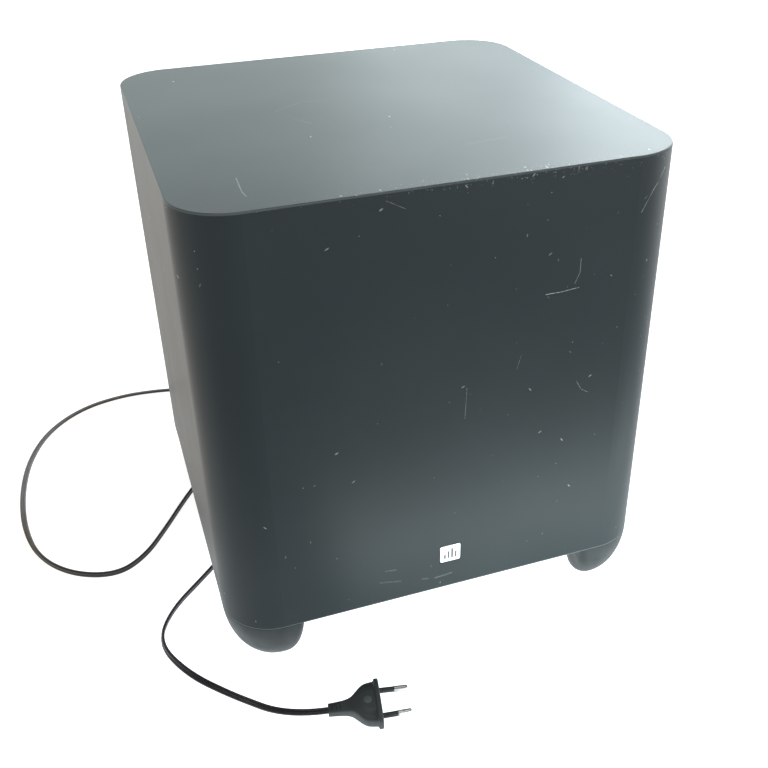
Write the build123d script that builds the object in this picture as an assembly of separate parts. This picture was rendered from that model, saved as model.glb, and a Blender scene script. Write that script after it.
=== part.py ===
from build123d import *
import math
import os

# A free-standing powered subwoofer: a square cabinet on four moulded corner feet, with a
# driver that fires down at the floor, an amplifier in a tray in the rear wall, a bass port
# above it, and a fixed flat mains lead with a two-pin plug.
# Millimetres. +Z is up, the front faces -Y, the origin is on the floor under the centre.

# ---- driving dimensions ----
WIDTH = 305.0  # cabinet, side to side and front to back
BODY_H = 294.0  # cabinet without its feet
FOOT_H = 38.0  # from the floor to the underside of the cabinet
CORNER_R = 35.5  # upright corners
TOP_EDGE = 1.2  # rounding of the top edge
WALL = 15.0  # cabinet walls and baffle

FOOT_SPAN = 49.4  # how far a foot reaches in from the outer walls
FOOT_TUCK_OUT = 18.5  # how far its outer faces curve in at the floor
FOOT_TUCK_IN = 6.7  # how far its inner faces curve back at the floor
PAD_R = 5.4
PAD_T = 2.0
PAD_PROUD = 0.6

CUTOUT_R = 92.0  # driver hole in the baffle
REBATE_R = 104.0
REBATE_DEPTH = 7.0
FLANGE_R = 103.0
SCREW_CIRCLE_R = 98.7
CONE_R = 72.0
COIL_R = 19.7

PANEL_Z = 160.0  # centre of the amplifier tray
TRAY_W = 170.0
TRAY_H = 130.0
FLANGE_W = 196.0
FLANGE_H = 156.0
SHEET = 2.5  # wall of the tray and of the amplifier chamber
PORT_Z = 280.0
PORT_R = 27.0
PORT_WALL = 2.5
PORT_LENGTH = 140.0

CORD_D = 4.6  # the flat cord's width
PLUG_LENGTH = 34.0
PLUG_WIDTH = 33.2
PLUG_T = 13.7
PIN_R = 2.0
PIN_LENGTH = 19.0
PIN_CORE_R = 1.5  # the pin inside its sleeve
SLEEVE_R = 1.8
SLEEVE_LENGTH = 10.0

# ---- worked out from them ----
HALF = WIDTH / 2
TOP_Z = FOOT_H + BODY_H
INNER = WIDTH - 2 * WALL
INNER_R = CORNER_R - WALL
SEAT_Z = FOOT_H + REBATE_DEPTH  # the driver's flange seats against this plane
CONE_LIP = SEAT_Z + 3.6  # underside of the cone's outer lip
FLOOR_Y = HALF - 18.0  # outer face of the tray's floor
BACK_Y = FLOOR_Y - SHEET  # inner face of the tray's floor
CONTROL_BOARD_Y = BACK_Y - 9.0  # face of the control board that the controls sit on
AMP_BOARD_Y = BACK_Y - 26.4
BOARD_T = 1.6
CHAMBER_Y = BACK_Y - 60.0

ROW_Z = PANEL_Z + 18.0  # height of the upper row of controls
LEVEL_X = 50.0
PHASE_X = 12.0
PAIR_X = -22.0
LIGHT_X = -40.0
MAINS_Z = PANEL_Z - 42.0  # height of the power switch and the lead
ROCKER_X = -14.0
ROCKER_Y = FLOOR_Y - 1.7
ROCKER_R = 8.2
ROCKER_TILT = 10.0
GLAND_X = -62.0
GLAND_END = HALF + 13.5

BASE = (Align.CENTER, Align.CENTER, Align.MIN)
QUARTERS = [(1, 1), (-1, 1), (-1, -1), (1, -1)]


def block(x, y, z):
    """A box from three (low, high) pairs."""
    size = [high - low for low, high in (x, y, z)]
    middle = [(high + low) / 2 for low, high in (x, y, z)]
    return Pos(*middle) * Box(*size)


def rounded_prism(width, radius, z_low, z_high):
    return Pos(0, 0, z_low) * extrude(RectangleRounded(width, width, radius), z_high - z_low)


def rod_z(x, y, z_low, z_high, radius):
    return Pos(x, y, z_low) * Cylinder(radius, z_high - z_low, align=BASE)


def rod_y(x, z, y_low, y_high, radius):
    return Pos(x, y_low, z) * Rot(-90, 0, 0) * Cylinder(radius, y_high - y_low, align=BASE)


def turned(points):
    """A solid of revolution about Z from a closed outline of (radius, height) points."""
    return revolve(Plane.XZ * make_face(Polyline(*points, close=True)), Axis.Z)


def turned_y(points, x, z):
    """The same about a line along Y, with heights measured as Y."""
    return Pos(x, 0, z) * Rot(-90, 0, 0) * turned(points)


def upright_plate(width, height, radius, y_low, y_high, z):
    """A rounded plate that faces the rear, centred at height z."""
    face = Plane((0, y_low, z), x_dir=(-1, 0, 0), z_dir=(0, 1, 0)) * RectangleRounded(
        width, height, radius
    )
    return extrude(face, y_high - y_low)


def around(count, radius, start=0.0):
    """Points spaced evenly round the driver's axis."""
    for k in range(count):
        angle = math.radians(start + 360.0 * k / count)
        yield radius * math.cos(angle), radius * math.sin(angle)


def fuse(pieces):
    return Compound(children=[s for piece in pieces for s in piece.solids()])


def cross_slot(radius, depth, width=1.0):
    """The cutter for a cross recess, its mouth at z = 0 and its floor above."""
    bar = Box(2 * radius, width, depth, align=BASE)
    return bar + Rot(0, 0, 90) * bar


def pan_screw(head_r, head_h, shank_r, length):
    """A pan-head screw that points up +Z, its head's seat at z = 0."""
    head = Pos(0, 0, -head_h) * Cylinder(head_r, head_h, align=BASE)
    head = fillet(head.edges().sort_by(Axis.Z)[0], head_h * 0.45)
    head -= Pos(0, 0, -head_h) * cross_slot(head_r * 0.6, head_h * 0.6)
    return head + Cylinder(shank_r, length, align=BASE)


def flat_screw(head_r, head_h, shank_r, length):
    """A countersunk screw that points up +Z, its flat head's face at z = 0."""
    body = turned(
        [(0, 0), (head_r, 0), (shank_r, head_h), (shank_r, length - 3), (0.3, length), (0, length)]
    )
    return body - cross_slot(head_r * 0.6, head_h * 0.6)


def flat_screw_hole(head_r, head_h, shank_r, length):
    return turned(
        [(0, -0.5), (head_r + 0.1, -0.5), (head_r + 0.1, 0.05), (shank_r + 0.1, head_h)]
        + [(shank_r + 0.1, length + 0.2), (0, length + 0.2)]
    )


# ---- cabinet ----
PANEL_SCREW = (3.4, 1.9, 1.7, 13.0)
PANEL_SCREWS = [
    (x, z)
    for x in (-FLANGE_W / 2 + 6.5, 0, FLANGE_W / 2 - 6.5)
    for z in (PANEL_Z - FLANGE_H / 2 + 6.5, PANEL_Z, PANEL_Z + FLANGE_H / 2 - 6.5)
    if (x, z) != (0, PANEL_Z)
]
BAFFLE_SCREW = (4.0, 2.4, 1.9, 28.0)
BAFFLE_SCREWS = [(x, y) for a in (-45, 45) for b in (-130, 130) for x, y in ((a, b), (b, a))]
FOOT_SCREWS = [(sx * a, sy * (240 - a)) for sx, sy in QUARTERS for a in (113, 127)]
FOOT_SCREW_END = 22.0
BADGE_Z = FOOT_H + 29.5
BADGE_W = 14.6
BADGE_H = 13.8
BADGE_POCKET = 0.6


def rearward(tool, x, z):
    """Turns a tool that points up +Z so that it points into the cabinet from its rear face."""
    return Pos(x, HALF, z) * Rot(90, 0, 0) * tool


def cabinet_shell():
    outer = rounded_prism(WIDTH, CORNER_R, FOOT_H, TOP_Z)
    outer = fillet(outer.edges().group_by(Axis.Z)[-1], TOP_EDGE)
    shell = outer - rounded_prism(INNER, INNER_R, FOOT_H - 1, TOP_Z - WALL)
    tray = (TRAY_W + 6, TRAY_H + 6, 5.0)
    shell -= upright_plate(*tray, HALF - WALL - 1, HALF + 1, PANEL_Z)
    shell -= upright_plate(FLANGE_W + 1, FLANGE_H + 1, 8.5, HALF - 3.5, HALF + 1, PANEL_Z)
    shell -= rod_y(0, PORT_Z, HALF - WALL - 1, HALF + 1, PORT_R + PORT_WALL + 0.2)
    shell -= rod_y(0, PORT_Z, HALF - 3.0, HALF + 1, 37.2)
    shell -= block(
        (-BADGE_W / 2 - 0.2, BADGE_W / 2 + 0.2),
        (-HALF - 1, -HALF + BADGE_POCKET),
        (BADGE_Z - BADGE_H / 2 - 0.2, BADGE_Z + BADGE_H / 2 + 0.2),
    )
    for x, z in PANEL_SCREWS:
        shell -= rearward(flat_screw_hole(*PANEL_SCREW), x, z)
    return shell


def bottom_baffle():
    board = rounded_prism(INNER, INNER_R, FOOT_H, FOOT_H + WALL)
    board -= rod_z(0, 0, FOOT_H - 1, FOOT_H + WALL + 1, CUTOUT_R)
    board -= rod_z(0, 0, FOOT_H - 1, SEAT_Z, REBATE_R)
    for x, y in around(8, SCREW_CIRCLE_R, 22.5):
        board -= rod_z(x, y, SEAT_Z - 1, SEAT_Z + 7, 2.1)
    for x, y in BAFFLE_SCREWS:
        board -= Pos(x, y, FOOT_H) * flat_screw_hole(*BAFFLE_SCREW)
    for x, y in FOOT_SCREWS:
        board -= rod_z(x, y, FOOT_H - 1, FOOT_H + WALL + 1, 2.1)
    return board


def baffle_battens():
    low = FOOT_H + WALL
    edge = INNER / 2
    strips = []
    for k in range(4):
        strip = block((-105, 105), (edge - 15, edge), (low, low + 15))
        for x in (-45, 45):
            strip -= rod_z(x, 130, low - 1, FOOT_H + 28.3, 2.0)
        strips.append(Rot(0, 0, 90 * k) * strip)
    return fuse(strips)


def baffle_screws():
    return fuse(Pos(x, y, FOOT_H) * flat_screw(*BAFFLE_SCREW) for x, y in BAFFLE_SCREWS)


# ---- feet ----
def tuck(depth, share, power):
    """How far a foot's face has curved in at a share of the way down to the floor."""
    return depth * (1 - (1 - share**power) ** (1 / power))


def foot_section(share):
    outer = HALF - tuck(FOOT_TUCK_OUT, share, 1.81)
    inner = HALF - FOOT_SPAN + tuck(FOOT_TUCK_IN, share, 1.37)
    side = outer - inner
    middle = (outer + inner) / 2
    face = Pos(middle, middle) * Rectangle(side, side)
    corners = face.vertices().sort_by(lambda v: v.X + v.Y)
    small = 4.0 + 4.8 * share
    large = min(CORNER_R - tuck(FOOT_TUCK_OUT, share, 1.81), side - small - 1.0)
    back = min(21.0 - 3.0 * share, side - small - 0.5)
    face = fillet(corners[-1], large)
    face = fillet(face.vertices().sort_by(lambda v: v.X + v.Y)[0], back)
    face = fillet(face.vertices().sort_by(lambda v: v.X - v.Y)[-1], small)
    face = fillet(face.vertices().sort_by(lambda v: v.X - v.Y)[0], small)
    height = FOOT_H + (PAD_PROUD - FOOT_H) * share
    return Pos(0, 0, height) * face


PAD_X = HALF - (FOOT_SPAN + FOOT_TUCK_OUT - FOOT_TUCK_IN) / 2


def foot():
    shares = [math.sin(math.radians(a)) for a in range(0, 91, 9)]
    body = loft([foot_section(share) for share in shares], ruled=True)
    body -= rod_z(PAD_X, PAD_X, -1, PAD_T, PAD_R + 0.1)
    for x, y in FOOT_SCREWS[:2]:
        body -= rod_z(x, y, FOOT_SCREW_END - 1, FOOT_H + 1, 2.1)
    return body


def feet():
    one = foot()
    left = mirror(one, Plane.YZ)
    return {
        "foot_rear_right": one,
        "foot_rear_left": left,
        "foot_front_right": mirror(one, Plane.XZ),
        "foot_front_left": mirror(left, Plane.XZ),
    }


def foot_pads():
    return fuse(rod_z(sx * PAD_X, sy * PAD_X, 0, PAD_T, PAD_R) for sx, sy in QUARTERS)


def foot_screws():
    top = FOOT_H + WALL
    screw = Rot(180, 0, 0) * pan_screw(4.0, 2.6, 2.0, top - FOOT_SCREW_END)
    return fuse(Pos(x, y, top) * screw for x, y in FOOT_SCREWS)


# ---- badge ----
def badge_plate():
    face = Plane((0, -HALF + BADGE_POCKET, BADGE_Z), x_dir=(1, 0, 0), z_dir=(0, -1, 0))
    plate = extrude(face * RectangleRounded(BADGE_W, BADGE_H, 1.4), 1.0)
    return fillet(plate.edges().group_by(Axis.Y)[0], 0.25)


def badge_mark():
    front = -HALF + BADGE_POCKET - 1.0
    bars = []
    for k, height in enumerate((3.4, 6.2, 8.0, 5.0)):
        x = (k - 1.5) * 2.6
        low = BADGE_Z - 4.0
        bars.append(block((x - 0.75, x + 0.75), (front - 0.15, front), (low, low + height)))
    return fuse(bars)


# ---- driver ----
def woofer_basket():
    s = SEAT_Z
    body = turned(
        [(87, s - 2), (FLANGE_R, s - 2), (FLANGE_R, s), (90, s), (90, s + 17), (58, s + 36)]
        + [(46, s + 36), (46, s + 43), (21.6, s + 43), (21.6, s + 41), (44, s + 41)]
        + [(44, s + 34), (57.2, s + 34), (88, s + 15.8), (88, s), (87, s)]
    )
    window = block((62, 100), (-21, 21), (s + 18.5, s + 33))
    for k in range(6):
        body -= Rot(0, 0, 60 * k + 30) * window
    for x, y in around(8, SCREW_CIRCLE_R, 22.5):
        body -= rod_z(x, y, s - 3, s + 1, 2.3)
    return body


def woofer_gasket():
    s = SEAT_Z
    ring = rod_z(0, 0, s - 4.5, s - 2, FLANGE_R) - rod_z(0, 0, s - 5, s - 1, 94.5)
    for x, y in around(8, SCREW_CIRCLE_R, 22.5):
        ring -= rod_z(x, y, s - 5, s - 1, 2.3)
    return ring


def woofer_screws():
    screw = pan_screw(3.75, 2.3, 2.0, 11.0)
    return fuse(
        Pos(x, y, SEAT_Z - 4.5) * screw for x, y in around(8, SCREW_CIRCLE_R, 22.5)
    )


def front_plate():
    s = SEAT_Z + 43
    return rod_z(0, 0, s, s + 6, 50) - rod_z(0, 0, s - 1, s + 7, 21.6)


def magnet_ring():
    s = SEAT_Z + 49
    ring = rod_z(0, 0, s, s + 18, 56) - rod_z(0, 0, s - 1, s + 19, 30)
    return chamfer(ring.edges().filter_by(GeomType.CIRCLE).sort_by(SortBy.RADIUS)[-2:], 1.2)


def pole_yoke():
    s = SEAT_Z
    plate = rod_z(0, 0, s + 67, s + 73, 50)
    plate = chamfer(plate.edges().group_by(Axis.Z)[-1], 1.5)
    return plate + rod_z(0, 0, s + 43, s + 67, 18.4)


def cone():
    s = SEAT_Z
    return turned(
        [(CONE_R, CONE_LIP), (CONE_R, CONE_LIP + 1.2), (66, CONE_LIP + 1.2), (COIL_R + 0.3, s + 29.4)]
        + [(COIL_R + 0.3, s + 28.0), (66, CONE_LIP)]
    )


def dust_cap():
    apex, ball = SEAT_Z + 13.6, 55.5
    dome = Pos(0, 0, apex + ball) * (Sphere(ball) - Sphere(ball - 1.0))
    return dome & rod_z(0, 0, apex - 1, apex + 8.8, 30)


def coil_former():
    s = SEAT_Z
    return rod_z(0, 0, s + 25, s + 53, COIL_R) - rod_z(0, 0, s + 24, s + 54, COIL_R - 0.5)


def voice_coil():
    s = SEAT_Z
    return rod_z(0, 0, s + 39, s + 53, COIL_R + 1) - rod_z(0, 0, s + 38, s + 54, COIL_R)


def surround_height(r):
    """Middle of the rubber at radius r: a lip, a roll that hangs down and a rising inner leg."""
    lip, roll_low, cone_lip = SEAT_Z - 2.45, SEAT_Z - 5.3, CONE_LIP - 0.5
    if r >= 87.0:
        return lip
    if r >= 80.0:
        return roll_low + (lip - roll_low) * (1 - math.cos((r - 80) / 7 * math.pi)) / 2
    if r >= CONE_R:
        return roll_low + (cone_lip - roll_low) * (1 - math.cos((80 - r) / 8 * math.pi)) / 2
    return cone_lip


def surround():
    radii = [94.0] + [87.0 - k for k in range(16)] + [68.0]
    lower = [(r, surround_height(r) - 0.45) for r in radii]
    upper = [(r, surround_height(r) + 0.45) for r in reversed(radii)]
    return turned(lower + upper)


def spider():
    s = SEAT_Z + 33.6

    def height(r):
        return s + (1.5 * math.sin((r - 24) / 5 * math.pi) if 24 < r < 44 else 0)

    radii = [COIL_R + 0.3] + [24 + 1.25 * k for k in range(17)] + [57.0]
    lower = [(r, height(r) - 0.4) for r in radii]
    upper = [(r, height(r) + 0.4) for r in reversed(radii)]
    return turned(lower + upper)


TERMINAL_ANGLE = 60.0


def woofer_terminal():
    card = block((88, 94), (-7, 7), (SEAT_Z + 9, SEAT_Z + 16.5))
    card -= rod_z(0, 0, SEAT_Z, SEAT_Z + 30, 90.05)
    for y in (-4, 4):
        card += block((91.4, 92.2), (y - 1.2, y + 1.2), (SEAT_Z + 16.5, SEAT_Z + 20))
    return Rot(0, 0, TERMINAL_ANGLE) * card


def speaker_lead():
    """Two insulated wires from the driver's tags up to the chamber's floor."""
    wires = []
    chamber_z = PANEL_Z - TRAY_H / 2 - 1
    for side in (-4, 4):
        angle = math.radians(TERMINAL_ANGLE)
        x = 91.8 * math.cos(angle) - side * math.sin(angle)
        y = 91.8 * math.sin(angle) + side * math.cos(angle)
        points = [(x, y, SEAT_Z + 20), (x, y, SEAT_Z + 28), (x - side / 2, y + 3, SEAT_Z + 38)]
        points.append((x - side / 2, y + 3, chamber_z))
        path = FilletPolyline(*points, radius=8)
        wires.append(sweep(Plane(origin=path @ 0, z_dir=path % 0) * Circle(1.1), path))
    return fuse(wires)


# ---- bass port and wadding ----
def port_tube():
    inner, outer = PORT_R, PORT_R + PORT_WALL
    rear = HALF
    tube = turned_y(
        [(inner, rear - PORT_LENGTH), (outer + 3, rear - PORT_LENGTH), (outer + 3, rear - PORT_LENGTH + 2)]
        + [(outer, rear - PORT_LENGTH + 5), (outer, rear - 3), (37, rear - 3), (37, rear), (inner, rear)],
        0,
        PORT_Z,
    )
    rims = tube.edges().filter_by(GeomType.CIRCLE).filter_by(lambda e: abs(e.radius - inner) < 0.01)
    rims = rims.sort_by(Axis.Y)
    tube = fillet(rims[-1], 7.0)
    rims = tube.edges().filter_by(GeomType.CIRCLE).filter_by(lambda e: abs(e.radius - inner) < 0.01)
    return fillet(rims.sort_by(Axis.Y)[0], 3.0)


def acoustic_wadding():
    pad = block((-122, 122), (-HALF + WALL + 1, -84), (122, 302))
    return fillet(pad.edges(), 14)


# ---- amplifier ----
def amp_panel():
    panel = upright_plate(FLANGE_W, FLANGE_H, 8, HALF - SHEET, HALF, PANEL_Z)
    panel += upright_plate(TRAY_W + 5, TRAY_H + 5, 4.5, BACK_Y, HALF - SHEET, PANEL_Z)
    panel -= upright_plate(TRAY_W, TRAY_H, 3, FLOOR_Y, HALF + 1, PANEL_Z)
    panel -= rod_y(LEVEL_X, ROW_Z, BACK_Y - 1, FLOOR_Y + 1, 3.6)
    panel -= rod_y(PAIR_X, ROW_Z, BACK_Y - 1, FLOOR_Y + 1, 3.3)
    panel -= rod_y(LIGHT_X, ROW_Z, BACK_Y - 1, FLOOR_Y + 1, 1.6)
    panel -= rod_y(GLAND_X, MAINS_Z, BACK_Y - 1, FLOOR_Y + 1, 6.0)
    through = (BACK_Y - 1, FLOOR_Y + 1)
    panel -= block((PHASE_X - 3.8, PHASE_X + 3.8), through, (ROW_Z - 1.6, ROW_Z + 1.6))
    panel -= block((ROCKER_X - 6.5, ROCKER_X + 6.5), through, (MAINS_Z - 9.7, MAINS_Z + 9.7))
    for x, z in PANEL_SCREWS:
        panel -= rearward(flat_screw_hole(*PANEL_SCREW), x, z)
    return panel


def panel_gasket():
    ring = upright_plate(FLANGE_W, FLANGE_H, 8, HALF - SHEET - 1, HALF - SHEET, PANEL_Z)
    hole = (TRAY_W + 6, TRAY_H + 6, 5.0)
    ring -= upright_plate(*hole, HALF - 6, HALF, PANEL_Z)
    for x, z in PANEL_SCREWS:
        ring -= rearward(flat_screw_hole(*PANEL_SCREW), x, z)
    return ring


def panel_screws():
    return fuse(rearward(flat_screw(*PANEL_SCREW), x, z) for x, z in PANEL_SCREWS)


def amp_chamber():
    box = upright_plate(TRAY_W + 2, TRAY_H + 2, 5, CHAMBER_Y, BACK_Y, PANEL_Z)
    return box - upright_plate(
        TRAY_W + 2 - 2 * SHEET, TRAY_H + 2 - 2 * SHEET, 3, CHAMBER_Y + SHEET, BACK_Y + 1, PANEL_Z
    )


STANDOFFS = [(x, PANEL_Z + z) for x in (-66, 66) for z in (-20, 46)]


def amp_board():
    board = upright_plate(144, 104, 2, AMP_BOARD_Y - BOARD_T, AMP_BOARD_Y, PANEL_Z)
    for x, z in STANDOFFS:
        board -= rod_y(x, z, AMP_BOARD_Y - 3, AMP_BOARD_Y + 1, 1.7)
    return board


def board_standoffs():
    return fuse(rod_y(x, z, AMP_BOARD_Y, BACK_Y, 3.0) for x, z in STANDOFFS)


def on_board(x, z, width, height, depth):
    """A block that stands on the amplifier board and points into the chamber."""
    face = AMP_BOARD_Y - BOARD_T
    return block(
        (x - width / 2, x + width / 2), (face - depth, face), (z - height / 2, z + height / 2)
    )


def power_transformer():
    core = on_board(-34, PANEL_Z + 14, 42, 34, 24)
    winding = on_board(-34, PANEL_Z + 14, 26, 44, 18)
    return core + winding


def filter_capacitors():
    face = AMP_BOARD_Y - BOARD_T
    cans = []
    for x in (8, 30):
        can = rod_y(x, PANEL_Z + 30, face - 26, face, 9)
        cans.append(fillet(can.edges().group_by(Axis.Y)[0], 1.0))
    return fuse(cans)


def heatsink():
    plate = on_board(24, PANEL_Z - 8, 70, 3, 24)
    for k in range(10):
        plate += on_board(24 - 31.5 + 7 * k, PANEL_Z - 14, 1.6, 10, 24)
    return plate


def output_inductors():
    face = AMP_BOARD_Y - BOARD_T
    rings = []
    for x in (44, 62):
        ring = rod_y(x, PANEL_Z + 8, face - 12, face, 7.5) - rod_y(x, PANEL_Z + 8, face - 13, face + 1, 3)
        rings.append(ring)
    return fuse(rings)


def mains_fuse():
    z = PANEL_Z - 34
    y = AMP_BOARD_Y - BOARD_T - 5
    tube = Pos(-54, y, z) * Rot(0, 90, 0) * Cylinder(2.4, 20)
    clips = [on_board(x, z, 3, 6, 8) for x in (-62, -46)]
    return tube + clips[0] + clips[1]


def control_board():
    y = CONTROL_BOARD_Y
    return block((-50, 62), (y - BOARD_T, y), (ROW_Z - 10, ROW_Z + 10))


def level_pot():
    y = CONTROL_BOARD_Y
    body = block((LEVEL_X - 8, LEVEL_X + 8), (y, BACK_Y), (ROW_Z - 8, ROW_Z + 8))
    body += rod_y(LEVEL_X, ROW_Z, BACK_Y, FLOOR_Y + 4.5, 3.5)
    return body - rod_y(LEVEL_X, ROW_Z, y + 2, FLOOR_Y + 6, 3.05)


def level_nut():
    face = Plane((LEVEL_X, FLOOR_Y, ROW_Z), x_dir=(-1, 0, 0), z_dir=(0, 1, 0))
    nut = extrude(face * RegularPolygon(5.7, 6), 2.2)
    return nut - rod_y(LEVEL_X, ROW_Z, FLOOR_Y - 1, FLOOR_Y + 3, 3.55)


SHAFT_END = FLOOR_Y + 11.5


def level_shaft():
    return rod_y(LEVEL_X, ROW_Z, CONTROL_BOARD_Y + 2.3, SHAFT_END, 3.0)


def level_knob():
    low, high = FLOOR_Y + 0.9, FLOOR_Y + 13.5
    knob = rod_y(LEVEL_X, ROW_Z, low, high, 9.2)
    knob = fillet(knob.edges().group_by(Axis.Y)[-1], 1.2)
    knob -= rod_y(LEVEL_X, ROW_Z, low - 1, FLOOR_Y + 5.2, 6.8)
    knob -= rod_y(LEVEL_X, ROW_Z, low, SHAFT_END, 3.0)
    for x, z in around(24, 9.5):
        knob -= rod_y(LEVEL_X + x, ROW_Z + z, low - 1, high - 2.4, 0.7)
    return knob - block(
        (LEVEL_X - 0.6, LEVEL_X + 0.6), (high - 0.5, high + 1), (ROW_Z + 2, ROW_Z + 10)
    )


def rocker_housing():
    x, z = ROCKER_X, MAINS_Z
    frame = block((x - 7.6, x + 7.6), (FLOOR_Y, FLOOR_Y + 1.8), (z - 10.8, z + 10.8))
    frame = fillet(frame.edges().group_by(Axis.Y)[-1], 0.7)
    frame += block((x - 6.4, x + 6.4), (BACK_Y - 18, FLOOR_Y), (z - 9.6, z + 9.6))
    frame -= block((x - 5.5, x + 5.5), (ROCKER_Y - 9.5, FLOOR_Y + 3), (z - 8.6, z + 8.6))
    pivot = Pos(x, ROCKER_Y, z) * Rot(0, 90, 0) * Cylinder(1.06, 12.4)
    return frame - pivot


def power_rocker():
    plane = Plane((ROCKER_X, ROCKER_Y, MAINS_Z), x_dir=(0, 0, 1), z_dir=(-1, 0, 0))
    rise = 10 * math.tan(math.radians(ROCKER_TILT))
    crown = 3.2
    profile = Circle(ROCKER_R) & Pos(0, 1.5) * Rectangle(20, 11)
    above = Polyline((-10, crown + rise), (0, crown), (10, crown + rise), (10, 20), (-10, 20), close=True)
    profile -= make_face(above)
    rocker = extrude(plane * profile, 5.2, both=True)
    rocker += Pos(ROCKER_X, ROCKER_Y, MAINS_Z) * Rot(0, 90, 0) * Cylinder(1.0, 12.2)
    return rocker.rotate(Axis((ROCKER_X, ROCKER_Y, MAINS_Z), (1, 0, 0)), ROCKER_TILT)


PHASE_TRAVEL = 4.0


def phase_switch_body():
    y = CONTROL_BOARD_Y
    body = block((PHASE_X - 7, PHASE_X + 7), (y, BACK_Y), (ROW_Z - 3.6, ROW_Z + 3.6))
    return body - block((PHASE_X - 5, PHASE_X + 5), (y + 4, BACK_Y + 1), (ROW_Z - 2.1, ROW_Z + 2.1))


def phase_slider():
    x = PHASE_X - PHASE_TRAVEL / 2
    foot_y = CONTROL_BOARD_Y + 5
    slider = block((x - 2.7, x + 2.7), (foot_y, foot_y + 1.8), (ROW_Z - 1.8, ROW_Z + 1.8))
    slider += block((x - 1.3, x + 1.3), (foot_y, FLOOR_Y + 2.4), (ROW_Z - 1.3, ROW_Z + 1.3))
    return slider


PAIR_TRAVEL = 1.2


def pairing_switch():
    y = CONTROL_BOARD_Y
    body = block((PAIR_X - 3, PAIR_X + 3), (y, y + 4), (ROW_Z - 3, ROW_Z + 3))
    return body + rod_y(PAIR_X, ROW_Z, y + 4, y + 5.4, 1.7)


def pairing_button():
    button = rod_y(PAIR_X, ROW_Z, BACK_Y - 1.8, BACK_Y - 0.3, 4.4)
    button += rod_y(PAIR_X, ROW_Z, BACK_Y - 0.3, FLOOR_Y + 1.6, 3.0)
    button += rod_y(PAIR_X, ROW_Z, BACK_Y - 1.8 - 0.4, BACK_Y - 1.8, 1.5)
    return fillet(button.edges().group_by(Axis.Y)[-1], 0.5)


def status_light():
    lens = rod_y(LIGHT_X, ROW_Z, CONTROL_BOARD_Y, FLOOR_Y + 0.8, 1.5)
    lens = fillet(lens.edges().group_by(Axis.Y)[-1], 0.7)
    return lens + rod_y(LIGHT_X, ROW_Z, BACK_Y - 3, BACK_Y - 0.2, 2.3)


# ---- mains lead ----
def cord_gland():
    boot = turned_y(
        [(0, BACK_Y - 6), (9, BACK_Y - 6), (9, BACK_Y), (5.9, BACK_Y), (5.9, FLOOR_Y)]
        + [(9, FLOOR_Y), (9, FLOOR_Y + 3), (6.4, FLOOR_Y + 4.5), (3.7, GLAND_END), (0, GLAND_END)],
        GLAND_X,
        MAINS_Z,
    )
    return boot


LAID = CORD_D / 2 + 0.1  # height of the lead's middle where it lies on the floor
PLUG_ANGLE = -10.0  # heading of the pins, from +X
PLUG_ROLL = 7.0  # the lead holds the far side of the plug up
PLUG_Z = 9.0
PLUG_ENTRY = (-103.2, -203.9, PLUG_Z)


def plug_direction(u, v, w):
    a, roll = math.radians(PLUG_ANGLE), math.radians(PLUG_ROLL)
    side = v * math.cos(roll) - w * math.sin(roll)
    rise = v * math.sin(roll) + w * math.cos(roll)
    return (u * math.cos(a) - side * math.sin(a), u * math.sin(a) + side * math.cos(a), rise)


def plug_point(u, v, w=0.0):
    """A point of the plug: u along its pins from the lead's entry, v to their left, w up."""
    return tuple(a + b for a, b in zip(PLUG_ENTRY, plug_direction(u, v, w)))


# Out of the boot, down behind the cabinet, one loose bend there, past its rear left corner,
# round to the left side, under the cabinet and back out, and forward to the plug.
CORD_POINTS = [
    (GLAND_X, GLAND_END, MAINS_Z),
    (GLAND_X, 188, MAINS_Z),
    (-60, 212, 108),
    (-56, 229, 86),
    (-50, 239, 57),
    (-40, 248, 30),
    (-24, 258, 9),
    (4, 264, LAID),
    (34, 260, LAID),
    (57, 241, LAID),
    (60, 213, LAID),
    (39, 194, LAID),
    (6, 189, LAID),
    (-30, 194, LAID),
    (-68, 207, LAID),
    (-108, 223, LAID),
    (-150, 235, LAID),
    (-190, 239, LAID),
    (-230, 229, LAID),
    (-262, 200, LAID),
    (-280, 158, LAID),
    (-287, 110, LAID),
    (-286, 62, LAID),
    (-276, 20, LAID),
    (-252, -9, LAID),
    (-220, -21, LAID),
    (-197, -7, LAID),
    (-177, 22, LAID),
    (-156, 56, LAID),
    (-133, 87, LAID),
    (-104, 92, LAID),
    (-84, 70, LAID),
    (-84, 38, LAID),
    (-103, 9, LAID),
    (-129, -16, LAID),
    (-158, -46, LAID),
    (-186, -73, LAID),
    (-199, -102, LAID),
    (-184, -136, LAID),
    (-158, -165, LAID + 0.2),
    plug_point(-27, 0),
    plug_point(0, 0),
]


def angle_at(before, here, after):
    return (Vector(*here) - Vector(*before)).get_angle(Vector(*after) - Vector(*here))


def cord_radii():
    radii = []
    for before, here, after in zip(CORD_POINTS, CORD_POINTS[1:], CORD_POINTS[2:]):
        run = min((Vector(*here) - Vector(*p)).length for p in (before, after))
        turn = angle_at(before, here, after)
        radii.append(0.45 * run / math.tan(math.radians(turn) / 2))
    return radii


def mains_cord():
    path = FilletPolyline(*CORD_POINTS, radius=cord_radii())
    tube = sweep(Plane(origin=path @ 0, z_dir=path % 0) * Circle(CORD_D / 2), path)
    ideal = math.pi * (CORD_D / 2) ** 2 * path.length
    print("cord length", round(path.length, 1), "mm")
    print("cord radii", [round(r) for r in cord_radii()])
    print("cord volume", round(tube.volume, 1), "against", round(ideal, 1))
    return tube


def plug_frame(shape):
    return Pos(*PLUG_ENTRY) * Rot(0, 0, PLUG_ANGLE) * Rot(PLUG_ROLL, 0, 0) * shape


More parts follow.
